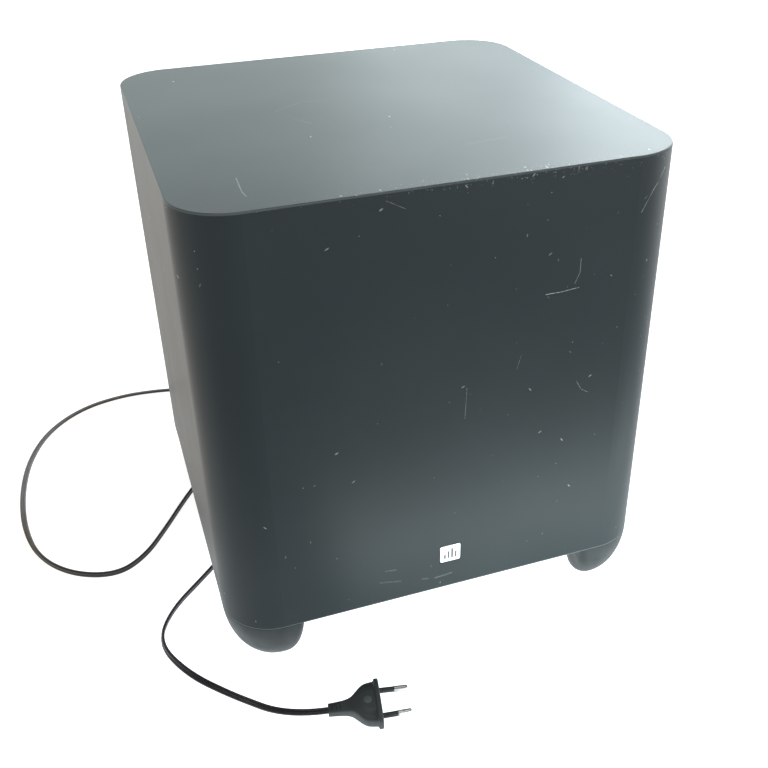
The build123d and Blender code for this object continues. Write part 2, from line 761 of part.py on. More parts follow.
PIN_ROOT = 9.3  # half the pins' spacing at the plug's face
PIN_LEAN = math.degrees(math.asin(0.55 / PIN_LENGTH))


def pin_pair(make):
    """Both pins, or their sleeves, from one that points up +Z from the plug's face."""
    pair = []
    for side in (-1, 1):
        place = Pos(PLUG_LENGTH, side * PIN_ROOT, 0) * Rot(0, 0, -side * PIN_LEAN) * Rot(0, 90, 0)
        pair.append(plug_frame(place * make()))
    return fuse(pair)


def one_pin():
    blade = Pos(0, 0, SLEEVE_LENGTH) * Cylinder(PIN_R, PIN_LENGTH - SLEEVE_LENGTH, align=BASE)
    blade = fillet(blade.edges().group_by(Axis.Z)[-1], 1.2)
    return blade + Pos(0, 0, -6) * Cylinder(PIN_CORE_R, 6 + SLEEVE_LENGTH, align=BASE)


def one_sleeve():
    tube = Pos(0, 0, -2) * Cylinder(SLEEVE_R, SLEEVE_LENGTH + 2, align=BASE)
    return tube - Pos(0, 0, -3) * Cylinder(PIN_CORE_R, SLEEVE_LENGTH + 4, align=BASE)


def plug_body():
    half = PLUG_WIDTH / 2
    side = [(0, 3.7), (11, 4.6), (16, 6.8), (21, 12.2), (26, 14.6), (31.5, 15.6), (PLUG_LENGTH, half)]
    plan = Polyline(*side, *[(u, -v) for u, v in reversed(side)], close=True)
    body = extrude(make_face(plan), PLUG_T / 2, both=True)
    rise = [(-1, 3.5), (11, 4.3), (22, PLUG_T / 2), (PLUG_LENGTH, PLUG_T / 2)]
    profile = Polyline(*rise, *[(u, -w) for u, w in reversed(rise)], close=True)
    body &= extrude(Plane.XZ * make_face(profile), PLUG_WIDTH, both=True)
    body = fillet(body.edges().group_by(Axis.X)[-1], 1.6)
    body = plug_frame(body)
    hole = Pos(0, 0, -6) * Cylinder(PIN_CORE_R, 8, align=BASE)
    hole += Pos(0, 0, -2) * Cylinder(SLEEVE_R, 4, align=BASE)
    return body - pin_pair(lambda: hole)


PARTS = {
    "cabinet_shell": cabinet_shell,
    "bottom_baffle": bottom_baffle,
    "baffle_battens": baffle_battens,
    "baffle_screws": baffle_screws,
    "foot_pads": foot_pads,
    "foot_screws": foot_screws,
    "badge_plate": badge_plate,
    "badge_mark": badge_mark,
    "woofer_basket": woofer_basket,
    "woofer_gasket": woofer_gasket,
    "woofer_screws": woofer_screws,
    "front_plate": front_plate,
    "magnet_ring": magnet_ring,
    "pole_yoke": pole_yoke,
    "cone": cone,
    "dust_cap": dust_cap,
    "coil_former": coil_former,
    "voice_coil": voice_coil,
    "surround": surround,
    "spider": spider,
    "woofer_terminal": woofer_terminal,
    "speaker_lead": speaker_lead,
    "port_tube": port_tube,
    "acoustic_wadding": acoustic_wadding,
    "amp_panel": amp_panel,
    "panel_gasket": panel_gasket,
    "panel_screws": panel_screws,
    "amp_chamber": amp_chamber,
    "amp_board": amp_board,
    "board_standoffs": board_standoffs,
    "power_transformer": power_transformer,
    "filter_capacitors": filter_capacitors,
    "heatsink": heatsink,
    "output_inductors": output_inductors,
    "mains_fuse": mains_fuse,
    "control_board": control_board,
    "level_pot": level_pot,
    "level_nut": level_nut,
    "level_shaft": level_shaft,
    "level_knob": level_knob,
    "rocker_housing": rocker_housing,
    "power_rocker": power_rocker,
    "phase_switch_body": phase_switch_body,
    "phase_slider": phase_slider,
    "pairing_switch": pairing_switch,
    "pairing_button": pairing_button,
    "status_light": status_light,
    "cord_gland": cord_gland,
    "mains_cord": mains_cord,
    "plug_body": plug_body,
    "plug_sleeves": lambda: pin_pair(one_sleeve),
    "plug_pins": lambda: pin_pair(one_pin),
}

os.makedirs("parts", exist_ok=True)
shapes = {name: make() for name, make in PARTS.items()}
shapes.update(feet())
for name, shape in shapes.items():
    export_step(shape, f"parts/{name}.step")
for k, side in enumerate((-1, 1)):
    middle = (SLEEVE_LENGTH + PIN_LENGTH) / 2
    lean = math.radians(PIN_LEAN)
    where = plug_point(PLUG_LENGTH + middle * math.cos(lean), side * (PIN_ROOT - middle * math.sin(lean)))
    axis = plug_direction(math.cos(lean), -side * math.sin(lean), 0)
    print("pin", k, "middle", [round(c, 3) for c in where], "axis", [round(c, 5) for c in axis])
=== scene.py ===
"""The looks of a free-standing powered subwoofer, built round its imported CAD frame.

Metres. +Z is up, the front faces -Y, the origin is on the floor under the middle of the cabinet.
"""

import math

import bmesh
import bpy
from mathutils import Matrix, Vector, noise


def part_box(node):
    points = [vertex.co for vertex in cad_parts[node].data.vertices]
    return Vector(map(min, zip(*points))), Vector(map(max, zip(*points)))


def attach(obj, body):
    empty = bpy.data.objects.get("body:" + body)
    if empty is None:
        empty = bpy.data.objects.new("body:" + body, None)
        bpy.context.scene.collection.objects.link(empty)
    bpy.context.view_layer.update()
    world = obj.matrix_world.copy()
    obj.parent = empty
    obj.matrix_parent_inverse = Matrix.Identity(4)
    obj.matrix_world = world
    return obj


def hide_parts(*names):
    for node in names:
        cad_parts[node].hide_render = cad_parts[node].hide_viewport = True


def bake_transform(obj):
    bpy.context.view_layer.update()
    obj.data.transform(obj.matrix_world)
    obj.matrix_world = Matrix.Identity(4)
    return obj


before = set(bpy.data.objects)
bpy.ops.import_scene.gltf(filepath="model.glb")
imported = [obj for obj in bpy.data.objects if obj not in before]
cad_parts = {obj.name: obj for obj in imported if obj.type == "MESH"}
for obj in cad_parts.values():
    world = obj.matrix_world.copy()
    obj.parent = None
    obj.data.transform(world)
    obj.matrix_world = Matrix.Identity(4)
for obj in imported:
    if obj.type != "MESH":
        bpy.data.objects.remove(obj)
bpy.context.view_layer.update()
scene = bpy.context.scene

MM = 0.001
SHELL_LOW, SHELL_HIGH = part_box("cabinet_shell")
HALF = SHELL_HIGH.x
FOOT_H = SHELL_LOW.z
TOP_Z = SHELL_HIGH.z
CORNER_R = 35.5 * MM
# A Mix node's sockets by number, because its number, vector and colour pairs share names.
NUMBER_A, NUMBER_B, NUMBER_OUT = 2, 3, 0
COLOUR_A, COLOUR_B, COLOUR_OUT = 6, 7, 2


# ---- camera, lights and floor ----
def make_camera():
    """The photograph's view: from the front left, looking down at 31 degrees."""
    yaw, pitch, roll = (math.radians(a) for a in (18.46, -31.09, -1.07))
    ahead = Vector(
        (math.sin(yaw) * math.cos(pitch), math.cos(yaw) * math.cos(pitch), math.sin(pitch))
    )
    right = ahead.cross(Vector((0, 0, 1))).normalized()
    up = right.cross(ahead)
    turn = Matrix.Rotation(-roll, 3, ahead)
    right, up = turn @ right, turn @ up
    data = bpy.data.cameras.new("camera")
    data.lens = 46.79
    data.sensor_width = 36.0
    data.shift_x, data.shift_y = -0.0245, -0.0223
    data.clip_start, data.clip_end = 0.02, 40.0
    camera = bpy.data.objects.new("camera", data)
    place = (-0.19157, -0.63235, 0.52674)
    axes = Matrix((right, up, -ahead)).transposed().to_4x4()
    camera.matrix_world = Matrix.Translation(place) @ axes
    scene.collection.objects.link(camera)
    scene.camera = camera


def area_light(name, place, aim, size, power, colour):
    """A soft rectangular light that points at aim and isn't seen by the camera."""
    data = bpy.data.lights.new(name, "AREA")
    data.shape = "RECTANGLE"
    data.size, data.size_y = size
    data.energy = power
    data.color = colour
    lamp = bpy.data.objects.new(name, data)
    lamp.location = place
    lamp.rotation_euler = (Vector(aim) - Vector(place)).to_track_quat("-Z", "Y").to_euler()
    lamp.visible_camera = False
    scene.collection.objects.link(lamp)


def make_sky():
    """A pale sky that is brightest at the horizon, cool but for its warm left side."""
    world = bpy.data.worlds.new("studio")
    world.use_nodes = True
    tree = world.node_tree
    sky = tree.nodes["Background"]
    split = tree.nodes.new("ShaderNodeSeparateXYZ")
    tree.links.new(tree.nodes.new("ShaderNodeTexCoord").outputs["Generated"], split.inputs[0])
    fade = tree.nodes.new("ShaderNodeMapRange")
    fade.interpolation_type = "SMOOTHSTEP"
    for name, value in (("From Min", 0.05), ("From Max", 0.4), ("To Min", 0.85), ("To Max", 0.08)):
        fade.inputs[name].default_value = value
    tree.links.new(split.outputs["Z"], fade.inputs["Value"])
    tree.links.new(fade.outputs["Result"], sky.inputs["Strength"])
    side = tree.nodes.new("ShaderNodeMapRange")
    for name, value in (("From Min", -0.2), ("From Max", -0.7)):
        side.inputs[name].default_value = value
    tree.links.new(split.outputs["X"], side.inputs["Value"])
    hue = tree.nodes.new("ShaderNodeMix")
    hue.data_type = "RGBA"
    hue.inputs[COLOUR_A].default_value = (0.90, 0.98, 1.02, 1)
    hue.inputs[COLOUR_B].default_value = (0.96, 0.87, 0.76, 1)
    tree.links.new(side.outputs["Result"], hue.inputs["Factor"])
    tree.links.new(hue.outputs[COLOUR_OUT], sky.inputs["Color"])
    scene.world = world
    scene.view_settings.view_transform = "Standard"


def make_lights():
    """Soft lights behind, at the right and above, a low one in front, a warm one at the left."""
    middle = (0, 0, 0.2)
    area_light("window", (1.35, 1.05, 0.95), middle, (1.3, 1.1), 42.0, (0.86, 0.96, 1.0))
    area_light("window_edge", (0.85, 1.5, 0.95), middle, (0.9, 1.0), 9.0, (0.84, 0.97, 1.0))
    area_light("back_wall", (-0.1, 1.7, 0.85), middle, (2.0, 1.0), 16.0, (0.88, 0.98, 0.97))
    below = (-0.05, -0.02, 0)
    area_light("overhead", (-0.05, -0.02, 1.4), below, (0.3, 0.3), 6.0, (0.94, 0.99, 1.0))
    front_foot = (0.14, -0.15, 0.06)
    area_light("front_pool", (0.14, -0.23, 0.006), front_foot, (0.4, 0.08), 0.55, (0.90, 1.0, 0.99))
    area_light("warm_wall", (-1.0, 1.3, 0.25), middle, (0.5, 0.4), 2.4, (1.0, 0.72, 0.46))


def floor_dimming(paper, x, y, beside):
    """A factor for the floor's glow, a third lower in front, at the right and at the front left."""
    along_right = paper.sum("MULTIPLY_ADD", y, -0.74, x)
    along_low = paper.sum("MULTIPLY_ADD", x, 0.36, y)
    close = paper.product((y, -1.0, -0.6), (y, 0.05, -0.10), (beside, 1.0, 0.6))
    in_front = paper.product((y, -0.29, -0.40), (y, -0.85, -0.50), (beside, 1.1, 0.5))
    at_right = paper.product((along_right, 0.34, 0.55), (along_right, 1.1, 0.8))
    at_corner = paper.product((along_low, -0.30, -0.45), (x, -0.12, -0.28))
    dim = paper.sum("MULTIPLY", in_front, 0.33)
    for area, depth in ((at_right, 0.36), (at_corner, 0.33)):
        bounded = paper.sum("MULTIPLY", area, close)
        dim = paper.sum("MAXIMUM", dim, paper.sum("MULTIPLY", bounded, depth))
    return paper.sum("SUBTRACT", 1.0, dim)


def floor_glow(paper, x, y, beside):
    """The floor's own light: soft bright areas, the dimmed ones, and a painted shadow under the
    cabinet.
    """
    far = paper.ramp(paper.vector("LENGTH", paper.place), 1.0, 2.5)
    near_front = paper.product((y, -0.33, -0.20), (y, 0.05, -0.10), (x, -0.36, -0.20))
    far_front = paper.product((y, -0.70, -0.95), (x, -0.3, 0.5))
    far_right = paper.product((x, 0.8, 1.1), (y, -1.0, -0.6), (y, 0.6, 0.2))
    glow = paper.sum("MULTIPLY_ADD", paper.ramp(x, 0.15, 0.45), 0.15, 0.95)
    for area, gain in ((far, 0.25), (near_front, 0.55), (far_front, 1.0), (far_right, 1.2)):
        glow = paper.sum("MULTIPLY_ADD", area, gain, glow)
    glow = paper.sum("MULTIPLY", glow, floor_dimming(paper, x, y, beside))
    # Painted shadow: the floor's glow drops to a tenth under the cabinet.
    under = paper.product((beside, 0.150, 0.10), (y, -0.118, -0.08), (y, 0.150, 0.10))
    return paper.sum("MULTIPLY", glow, paper.sum("MULTIPLY_ADD", under, -0.9, 1.0))


def make_floor():
    """A plain pale floor whose glow, cool in front and warm at the left, lights the cabinet."""
    size = 30.0
    corners = [(-size, -size, 0), (size, -size, 0), (size, size, 0), (-size, size, 0)]
    floor = new_piece("floor", corners, [(0, 1, 2, 3)])
    paper = Finish("floor_paper", (0.35, 0.35, 0.35), 0.9)
    x, y = paper.axis("X"), paper.axis("Y")
    beside = paper.sum("ABSOLUTE", x)
    paper.feed(paper.shader.inputs["Emission Strength"], floor_glow(paper, x, y, beside))
    around = paper.product((y, 0.15, -0.10), (y, -1.4, -0.8), (beside, 1.4, 0.8))
    left = paper.product((x, -0.10, -0.25), (y, -0.15, 0.1), (y, 1.0, 0.6))
    hue = paper.mixed(around, (1, 1, 1, 1), (0.91, 0.98, 1.02, 1))
    hue = paper.mixed(left, hue, (1.0, 0.91, 0.82, 1))
    paper.feed(paper.shader.inputs["Emission Color"], hue)
    paper.grain(220, 0.03 * MM)
    paper.on(floor)


# ---- material helpers ----
class Finish:
    """One material: a Principled shader with the nodes that feed it."""

    def __init__(self, name, colour, roughness, metallic=0.0, ior=1.45):
        self.material = bpy.data.materials.new(name)
        self.material.use_nodes = True
        self.tree = self.material.node_tree
        self.shader = self.tree.nodes["Principled BSDF"]
        self.colour = (*colour, 1.0)
        self.shader.inputs["Base Color"].default_value = self.colour
        self.shader.inputs["Roughness"].default_value = roughness
        self.shader.inputs["Metallic"].default_value = metallic
        self.shader.inputs["IOR"].default_value = ior
        self.place = self.node("ShaderNodeTexCoord").outputs["Object"]

    def node(self, kind, **settings):
        made = self.tree.nodes.new(kind)
        for key, value in settings.items():
            setattr(made, key, value)
        return made

    def feed(self, socket, value):
        """Links an output to a socket, or sets the socket to a plain value."""
        if isinstance(value, bpy.types.NodeSocket):
            self.tree.links.new(value, socket)
        else:
            socket.default_value = value

    def sum(self, operation, a, b=0.0, c=0.0):
        """One calculation on outputs or plain numbers."""
        made = self.node("ShaderNodeMath", operation=operation)
        for socket, value in zip(made.inputs, (a, b, c)):
            self.feed(socket, value)
        return made.outputs[0]

    def vector(self, operation, a, b=(0, 0, 0)):
        """One calculation on vectors, which gives a number or a vector."""
        made = self.node("ShaderNodeVectorMath", operation=operation)
        self.feed(made.inputs[0], a)
        self.feed(made.inputs[1], b)
        gives_number = operation in ("DOT_PRODUCT", "LENGTH", "DISTANCE")
        return made.outputs["Value" if gives_number else "Vector"]

    def scaled(self, a, factor):
        made = self.node("ShaderNodeVectorMath", operation="SCALE")
        self.feed(made.inputs[0], a)
        self.feed(made.inputs["Scale"], factor)
        return made.outputs["Vector"]

    def axis(self, name):
        """The place along X, Y or Z, in metres."""
        return self.node_out("ShaderNodeSeparateXYZ", self.place, name)

    def node_out(self, kind, value, name):
        made = self.node(kind)
        self.feed(made.inputs[0], value)
        return made.outputs[name]

    def noise(self, scale, detail=2.0, place=None):
        made = self.node("ShaderNodeTexNoise")
        made.inputs["Scale"].default_value = scale
        made.inputs["Detail"].default_value = detail
        self.feed(made.inputs["Vector"], place or self.place)
        return made.outputs["Fac"]

    def ramp(self, value, low, high):
        """0 up to low, 1 from high on, and smooth between them. low may be above high."""
        made = self.node("ShaderNodeMapRange", interpolation_type="SMOOTHSTEP")
        self.feed(made.inputs["Value"], value)
        made.inputs["From Min"].default_value = low
        made.inputs["From Max"].default_value = high
        return made.outputs["Result"]

    def product(self, *ramps):
        """Ramps multiplied together, each given as (value, low, high)."""
        share = self.ramp(*ramps[0])
        for more in ramps[1:]:
            share = self.sum("MULTIPLY", share, self.ramp(*more))
        return share

    def mixed(self, share, under, over):
        """One colour where share is 0 and another where it is 1."""
        made = self.node("ShaderNodeMix", data_type="RGBA")
        self.feed(made.inputs["Factor"], share)
        self.feed(made.inputs[COLOUR_A], under)
        self.feed(made.inputs[COLOUR_B], over)
        return made.outputs[COLOUR_OUT]

    def tint(self, share, colour):
        """Mixes another colour over the base colour."""
        base = self.shader.inputs["Base Color"]
        under = base.links[0].from_socket if base.links else self.colour
        self.feed(base, self.mixed(share, under, (*colour, 1.0)))
        return self

    def gloss(self, share, roughness):
        """Mixes another roughness over the base roughness."""
        socket = self.shader.inputs["Roughness"]
        under = socket.links[0].from_socket if socket.links else socket.default_value
        made = self.node("ShaderNodeMix", data_type="FLOAT")
        self.feed(made.inputs["Factor"], share)
        self.feed(made.inputs[NUMBER_A], under)
        self.feed(made.inputs[NUMBER_B], roughness)
        self.feed(socket, made.outputs[NUMBER_OUT])
        return self

    def bump(self, height, distance):
        """Raises the surface by that distance where height is 1, over any bump before it."""
        socket = self.shader.inputs["Normal"]
        made = self.node("ShaderNodeBump")
        made.inputs["Strength"].default_value = 1.0
        made.inputs["Distance"].default_value = distance
        self.feed(made.inputs["Height"], height)
        if socket.links:
            self.feed(made.inputs["Normal"], socket.links[0].from_socket)
        self.feed(socket, made.outputs["Normal"])
        return self

    def grain(self, scale, distance, detail=3.0):
        return self.bump(self.noise(scale, detail), distance)

    def mottle(self, scale, colour, low=0.35, high=0.75):
        """Soft patches of a second colour."""
        return self.tint(self.ramp(self.noise(scale, 4.0), low, high), colour)

    def on(self, *pieces):
        """Makes this the only material of those pieces."""
        for piece in pieces:
            piece.data.materials.clear()
            piece.data.materials.append(self.material)
        return self


def moulded(name, colour, roughness=0.5, grain=1400.0, depth=0.04):
    """Moulded plastic or rubber with a fine skin."""
    made = Finish(name, colour, roughness)
    made.mottle(35, [min(1.0, c * 1.25 + 0.004) for c in colour])
    made.gloss(made.ramp(made.noise(90, 3.0), 0.35, 0.8), min(1.0, roughness + 0.12))
    return made.grain(grain, depth * MM)


def metal(name, colour, roughness=0.3, brush=(1.0, 1.0, 1.0)):
    """Metal, drawn out along the axis where brush is small."""
    made = Finish(name, colour, roughness, metallic=1.0)
    lines = made.noise(900, 4.0, made.vector("MULTIPLY", made.place, brush))
    made.gloss(made.ramp(lines, 0.3, 0.7), min(1.0, roughness + 0.15))
    made.mottle(60, [c * 0.85 for c in colour])
    return made.bump(lines, 0.01 * MM)


def woven(name, colour, thread, roughness=0.9):
    """Cloth or paper: crossed threads of that pitch over a soft cloud."""
    made = Finish(name, colour, roughness)
    made.shader.inputs["Sheen Weight"].default_value = 0.2
    made.mottle(80, [c * 0.72 for c in colour])
    height = None
    for direction in ("X", "Y"):
        wave = made.node("ShaderNodeTexWave", bands_direction=direction)
        wave.inputs["Scale"].default_value = 1.0 / (thread * 3.2)
        wave.inputs["Distortion"].default_value = 1.5
        made.feed(wave.inputs["Vector"], made.place)
        out = wave.outputs["Fac"]
        height = out if height is None else made.sum("MAXIMUM", height, out)
    return made.bump(height, thread * 0.3)


def clear(name, colour, roughness=0.08):
    """Glass or clear plastic."""
    made = Finish(name, colour, roughness, ior=1.5)
    made.shader.inputs["Transmission Weight"].default_value = 0.85
    made.gloss(made.ramp(made.noise(300), 0.4, 0.8), roughness + 0.1)
    return made


# ---- the cabinet's finish ----
class Film(Finish):
    """Matt charcoal film over board, with pale specks, scratches, and pale edges that are partly
    rubbed wear and partly painted highlight.
    """

    def __init__(self, name, colour, roughness):
        super().__init__(name, colour, roughness, ior=1.28)
        wobble = self.vector("SUBTRACT", self.noise_colour(160), (0.5, 0.5, 0.5))
        self.rough_place = self.vector("ADD", self.place, self.scaled(wobble, 2.2 * MM))
        self.stroke_place = self.vector("ADD", self.place, self.scaled(wobble, 0.5 * MM))
        self.broken = self.ramp(self.noise(900, 3.0), 0.38, 0.52)

    def noise_colour(self, scale):
        made = self.node("ShaderNodeTexNoise")
        made.inputs["Scale"].default_value = scale
        self.feed(made.inputs["Vector"], self.place)
        return made.outputs["Color"]

    def stroke(self, start, end, width, depth):
        """A mask along a straight scratch between two points on the surface."""
        start, end = Vector(start), Vector(end)
        along = end - start
        from_start = self.vector("SUBTRACT", self.stroke_place, tuple(start))
        reached = self.vector("DOT_PRODUCT", from_start, tuple(along))
        share = self.sum("DIVIDE", reached, along.length_squared)
        share = self.sum("MINIMUM", self.sum("MAXIMUM", share, 0.0), 1.0)
        nearest = self.scaled(tuple(along), share)
        away = self.vector("DISTANCE", from_start, nearest)
        line = self.ramp(away, width, width * 0.3)
        faded = self.sum("MULTIPLY", line, self.sum("MULTIPLY_ADD", self.broken, 0.6, 0.4))
        return self.sum("MULTIPLY", faded, depth)

    def specks(self, scale, size, density, turn=0.0, stretch=1.0):
        """Pale dots in a share of the cells, where density says, or short dashes at an angle."""
        place = self.rough_place
        if stretch != 1.0:
            turned = self.node("ShaderNodeVectorRotate", rotation_type="Y_AXIS")
            self.feed(turned.inputs["Vector"], place)
            turned.inputs["Angle"].default_value = math.radians(turn)
            place = self.vector("MULTIPLY", turned.outputs["Vector"], (stretch, stretch, 1.0))
        cells = self.node("ShaderNodeTexVoronoi")
        cells.inputs["Scale"].default_value = scale
        self.feed(cells.inputs["Vector"], place)
        split = self.node("ShaderNodeSeparateColor")
        self.feed(split.inputs[0], cells.outputs["Color"])
        chosen = self.sum("LESS_THAN", split.outputs["Red"], density)
        dot = self.ramp(cells.outputs["Distance"], size, size * 0.4)
        strength = self.sum("MULTIPLY_ADD", split.outputs["Green"], 0.75, 0.25)
        return self.sum("MULTIPLY", self.sum("MULTIPLY", dot, chosen), strength)

    def near(self, axis, value, reach):
        """1 at that height along an axis, fading to 0 at reach from it."""
        away = self.sum("ABSOLUTE", self.sum("SUBTRACT", self.axis(axis), value))
        return self.ramp(away, reach, 0.0)


def front(x, z):
    """A point of the front face or of its rounded corner, from millimetres."""
    past = max(0.0, abs(x) * MM - (HALF - CORNER_R))
    return (x * MM, CORNER_R - HALF - math.sqrt(CORNER_R**2 - past**2), z * MM)


def top(x, y):
    """A point of the top face, from millimetres."""
    return (x * MM, y * MM, TOP_Z)


# Scratches and scuffs: start and end in millimetres, width in millimetres, how pale.
SCRATCHES = [
    (front(60, 253), front(71, 253), 0.34, 0.9),
    (front(71, 253), front(82, 254), 0.26, 0.9),
    (front(82, 273), front(82, 264), 0.26, 0.5),
    (front(82, 264), front(79, 257), 0.26, 0.5),
    (front(10, 198), front(9, 175), 0.24, 0.35),
    (front(46, 214), front(43, 204), 0.22, 0.35),
    (front(86, 186), front(90, 179), 0.26, 0.45),
    (front(90, 179), front(95, 176), 0.24, 0.45),
    (front(-39, 327), front(-28, 321), 0.24, 0.35),
    (front(-11, 48), front(1, 49), 0.9, 0.15),
    (front(-20, 50), front(-16, 49), 0.9, 0.11),
    (front(-46, 65), front(-39, 64), 0.9, 0.11),
    (front(-50, 56), front(-36, 53), 1.0, 0.09),
    (front(136, 321), front(127, 309), 0.42, 0.55),
    (front(127, 309), front(120, 297), 0.32, 0.5),
    (front(131, 313), front(121, 305), 0.26, 0.4),
    (top(-110, -102), top(-111, -124), 0.5, 0.3),
    (top(-111, -124), top(-110, -131), 0.5, 0.3),
    (top(-62, 12), top(-40, 28), 0.3, 0.14),
    (top(-40, 28), top(-22, 24), 0.3, 0.12),
    (top(-54, -8), top(-46, -22), 0.3, 0.14),
    (top(30, -96), top(58, -92), 0.3, 0.12),
]


def speck_density(made, upper_rim, lean):
    """The share of cells with a speck: most on the upper front edge, least on the open top."""
    right_rim = made.sum("MULTIPLY", made.near("X", HALF, 34 * MM), made.near("Y", -HALF, 34 * MM))
    toward_right = made.ramp(made.axis("X"), -0.02, 0.11)
    right_part = made.sum("MULTIPLY", toward_right, made.near("Z", 0.26, 0.12))
    density = made.sum("MULTIPLY", upper_rim, 0.34)
    density = made.sum("MULTIPLY_ADD", right_rim, 0.03, density)
    density = made.sum("MULTIPLY_ADD", right_part, 0.012, density)
    patchy = made.ramp(made.noise(55, 2.0), 0.42, 0.62)
    density = made.sum("MULTIPLY", density, patchy)
    density = made.sum("ADD", density, 0.003)
    behind_rim = made.ramp(made.axis("Y"), -0.144, -0.136)
    open_top = made.sum("MULTIPLY", made.ramp(lean, 0.90, 0.97), behind_rim)
    return made.sum("MULTIPLY", density, made.sum("MULTIPLY_ADD", open_top, -0.8, 1.0))


def cabinet_finish():
    """The film with its wear, specks and dashes and scratches, and pale edges: a painted highlight
    round the rounded top edge, and a line at the bottom edge that is partly wear and partly painted
    highlight.
    """
    made = Film("cabinet_finish", (0.021, 0.030, 0.033), 0.44)
    made.mottle(9, (0.025, 0.035, 0.038))
    made.gloss(made.ramp(made.noise(14, 5.0), 0.3, 0.7), 0.455)
    made.grain(1500, 0.035 * MM)
    made.grain(420, 0.02 * MM)
    upper_rim = made.sum("MULTIPLY", made.near("Z", TOP_Z, 8 * MM), made.near("Y", -HALF, 12 * MM))
    upper_rim = made.sum("MULTIPLY", upper_rim, made.ramp(made.axis("X"), -0.12, 0.03))
    normal = made.node("ShaderNodeTexCoord").outputs["Normal"]
    lean = made.node_out("ShaderNodeSeparateXYZ", normal, "Z")
    density = speck_density(made, upper_rim, lean)
    wear_and_highlights = made.sum("MULTIPLY", made.specks(620, 0.27, density), 0.75)
    fine = made.specks(1100, 0.34, made.sum("MULTIPLY", upper_rim, 0.30))
    wear_and_highlights = made.sum("MAXIMUM", wear_and_highlights, made.sum("MULTIPLY", fine, 0.6))
    for turn, scale, size in ((35, 520, 0.30), (-50, 430, 0.27), (80, 610, 0.30)):
        dashes = made.specks(scale, size, made.sum("MULTIPLY", density, 0.8), turn, 0.32)
        wear_and_highlights = made.sum("MAXIMUM", wear_and_highlights, made.sum("MULTIPLY", dashes, 0.7))
    for start, end, width, depth in SCRATCHES:
        wear_and_highlights = made.sum("MAXIMUM", wear_and_highlights, made.stroke(start, end, width * MM, depth))
    # A pale line along the bottom edge: partly edge wear, partly a painted highlight.
    low_rim_wear_and_highlight = made.near("Z", FOOT_H, 0.8 * MM)
    wear_and_highlights = made.sum("MAXIMUM", wear_and_highlights, made.sum("MULTIPLY", low_rim_wear_and_highlight, 0.35))
    # Painted highlight: a pale band round the rounded top edge, where the surface leans between flat
    # and upright.
    top_edge_highlight = made.sum("MULTIPLY", made.ramp(lean, 0.06, 0.35), made.ramp(lean, 0.97, 0.75))
    wear_and_highlights = made.sum("MAXIMUM", wear_and_highlights, made.sum("MULTIPLY", top_edge_highlight, 0.2))
    # Wear and painted highlights, tinted pale and pressed in together.
    made.tint(wear_and_highlights, (0.50, 0.54, 0.53))
    made.bump(wear_and_highlights, -0.05 * MM)
    return made


# ---- mesh helpers ----
def new_piece(name, points, faces, sharp_over=35.0):
    """A smooth-shaded mesh object whose edges over that angle stay sharp."""
    mesh = bpy.data.meshes.new(name)
    mesh.from_pydata([tuple(p) for p in points], [], faces)
    work = bmesh.new()
    work.from_mesh(mesh)
    bmesh.ops.remove_doubles(work, verts=work.verts, dist=1e-7)
    bmesh.ops.recalc_face_normals(work, faces=work.faces)
    work.to_mesh(mesh)
    work.free()
    mesh.polygons.foreach_set("use_smooth", [True] * len(mesh.polygons))
    mesh.set_sharp_from_angle(angle=math.radians(sharp_over))
    piece = bpy.data.objects.new(name, mesh)
    scene.collection.objects.link(piece)
    return piece


def skin(rings, closed=False, capped=True):
    """Points and faces through closed rings of as many points each."""
    count = len(rings[0])
    points = [p for ring in rings for p in ring]
    faces = []
    for k in range(len(rings) if closed else len(rings) - 1):
        a, b = k * count, (k + 1) % len(rings) * count
        for i in range(count):
            j = (i + 1) % count
            faces.append((a + i, a + j, b + j, b + i))
    if capped and not closed:
        last = (len(rings) - 1) * count
        faces.append(tuple(range(count)))
        faces.append(tuple(range(last + count - 1, last - 1, -1)))
    return points, faces


def lathe(name, outline, centre=(0, 0, 0), along="Z", steps=96, closed=True):
    """A turned piece from an outline of (radius, height) in millimetres."""
    rings = []
    for radius, height in outline:
        ring = []
        for k in range(steps):
            angle = 2 * math.pi * k / steps
            a, b, c = radius * math.cos(angle) * MM, radius * math.sin(angle) * MM, height * MM
            ring.append(Vector(centre) + (Vector((a, b, c)) if along == "Z" else Vector((a, c, b))))
        rings.append(ring)
    return new_piece(name, *skin(rings, closed=closed))


def dress(piece, finish, body, slot, *replaced):
    """Gives a new piece its material, the body it rides on and the CAD nodes it stands for."""
    finish.on(piece)
    if body:
        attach(piece, body)
    if replaced:
        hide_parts(*replaced)
    return piece


def smoothstep(low, high, x):
    """0 up to low, 1 from high on, and smooth between them. low may be above high."""
    t = max(0.0, min(1.0, (x - low) / (high - low)))
    return t * t * (3 - 2 * t)


# ---- feet ----
FOOT_SPAN = 49.4 * MM
TUCK_OUT = 18.5 * MM
TUCK_IN = 6.7 * MM
FOOT_BOTTOM = 0.6 * MM
PAD_R = 5.4 * MM
PAD_T = 2.0 * MM
PAD_X = HALF - (FOOT_SPAN + TUCK_OUT - TUCK_IN) / 2


def tuck(depth, share, power):
    """How far a foot's face has curved in at a share of the way down to the floor."""
    return depth * (1 - (1 - share**power) ** (1 / power))


def corner_arc(x, y, radius, start, steps):
    """Points of a quarter circle that begins at that angle."""
    for k in range(steps + 1):
        angle = math.radians(start + 90.0 * k / steps)
        yield x + radius * math.cos(angle), y + radius * math.sin(angle)


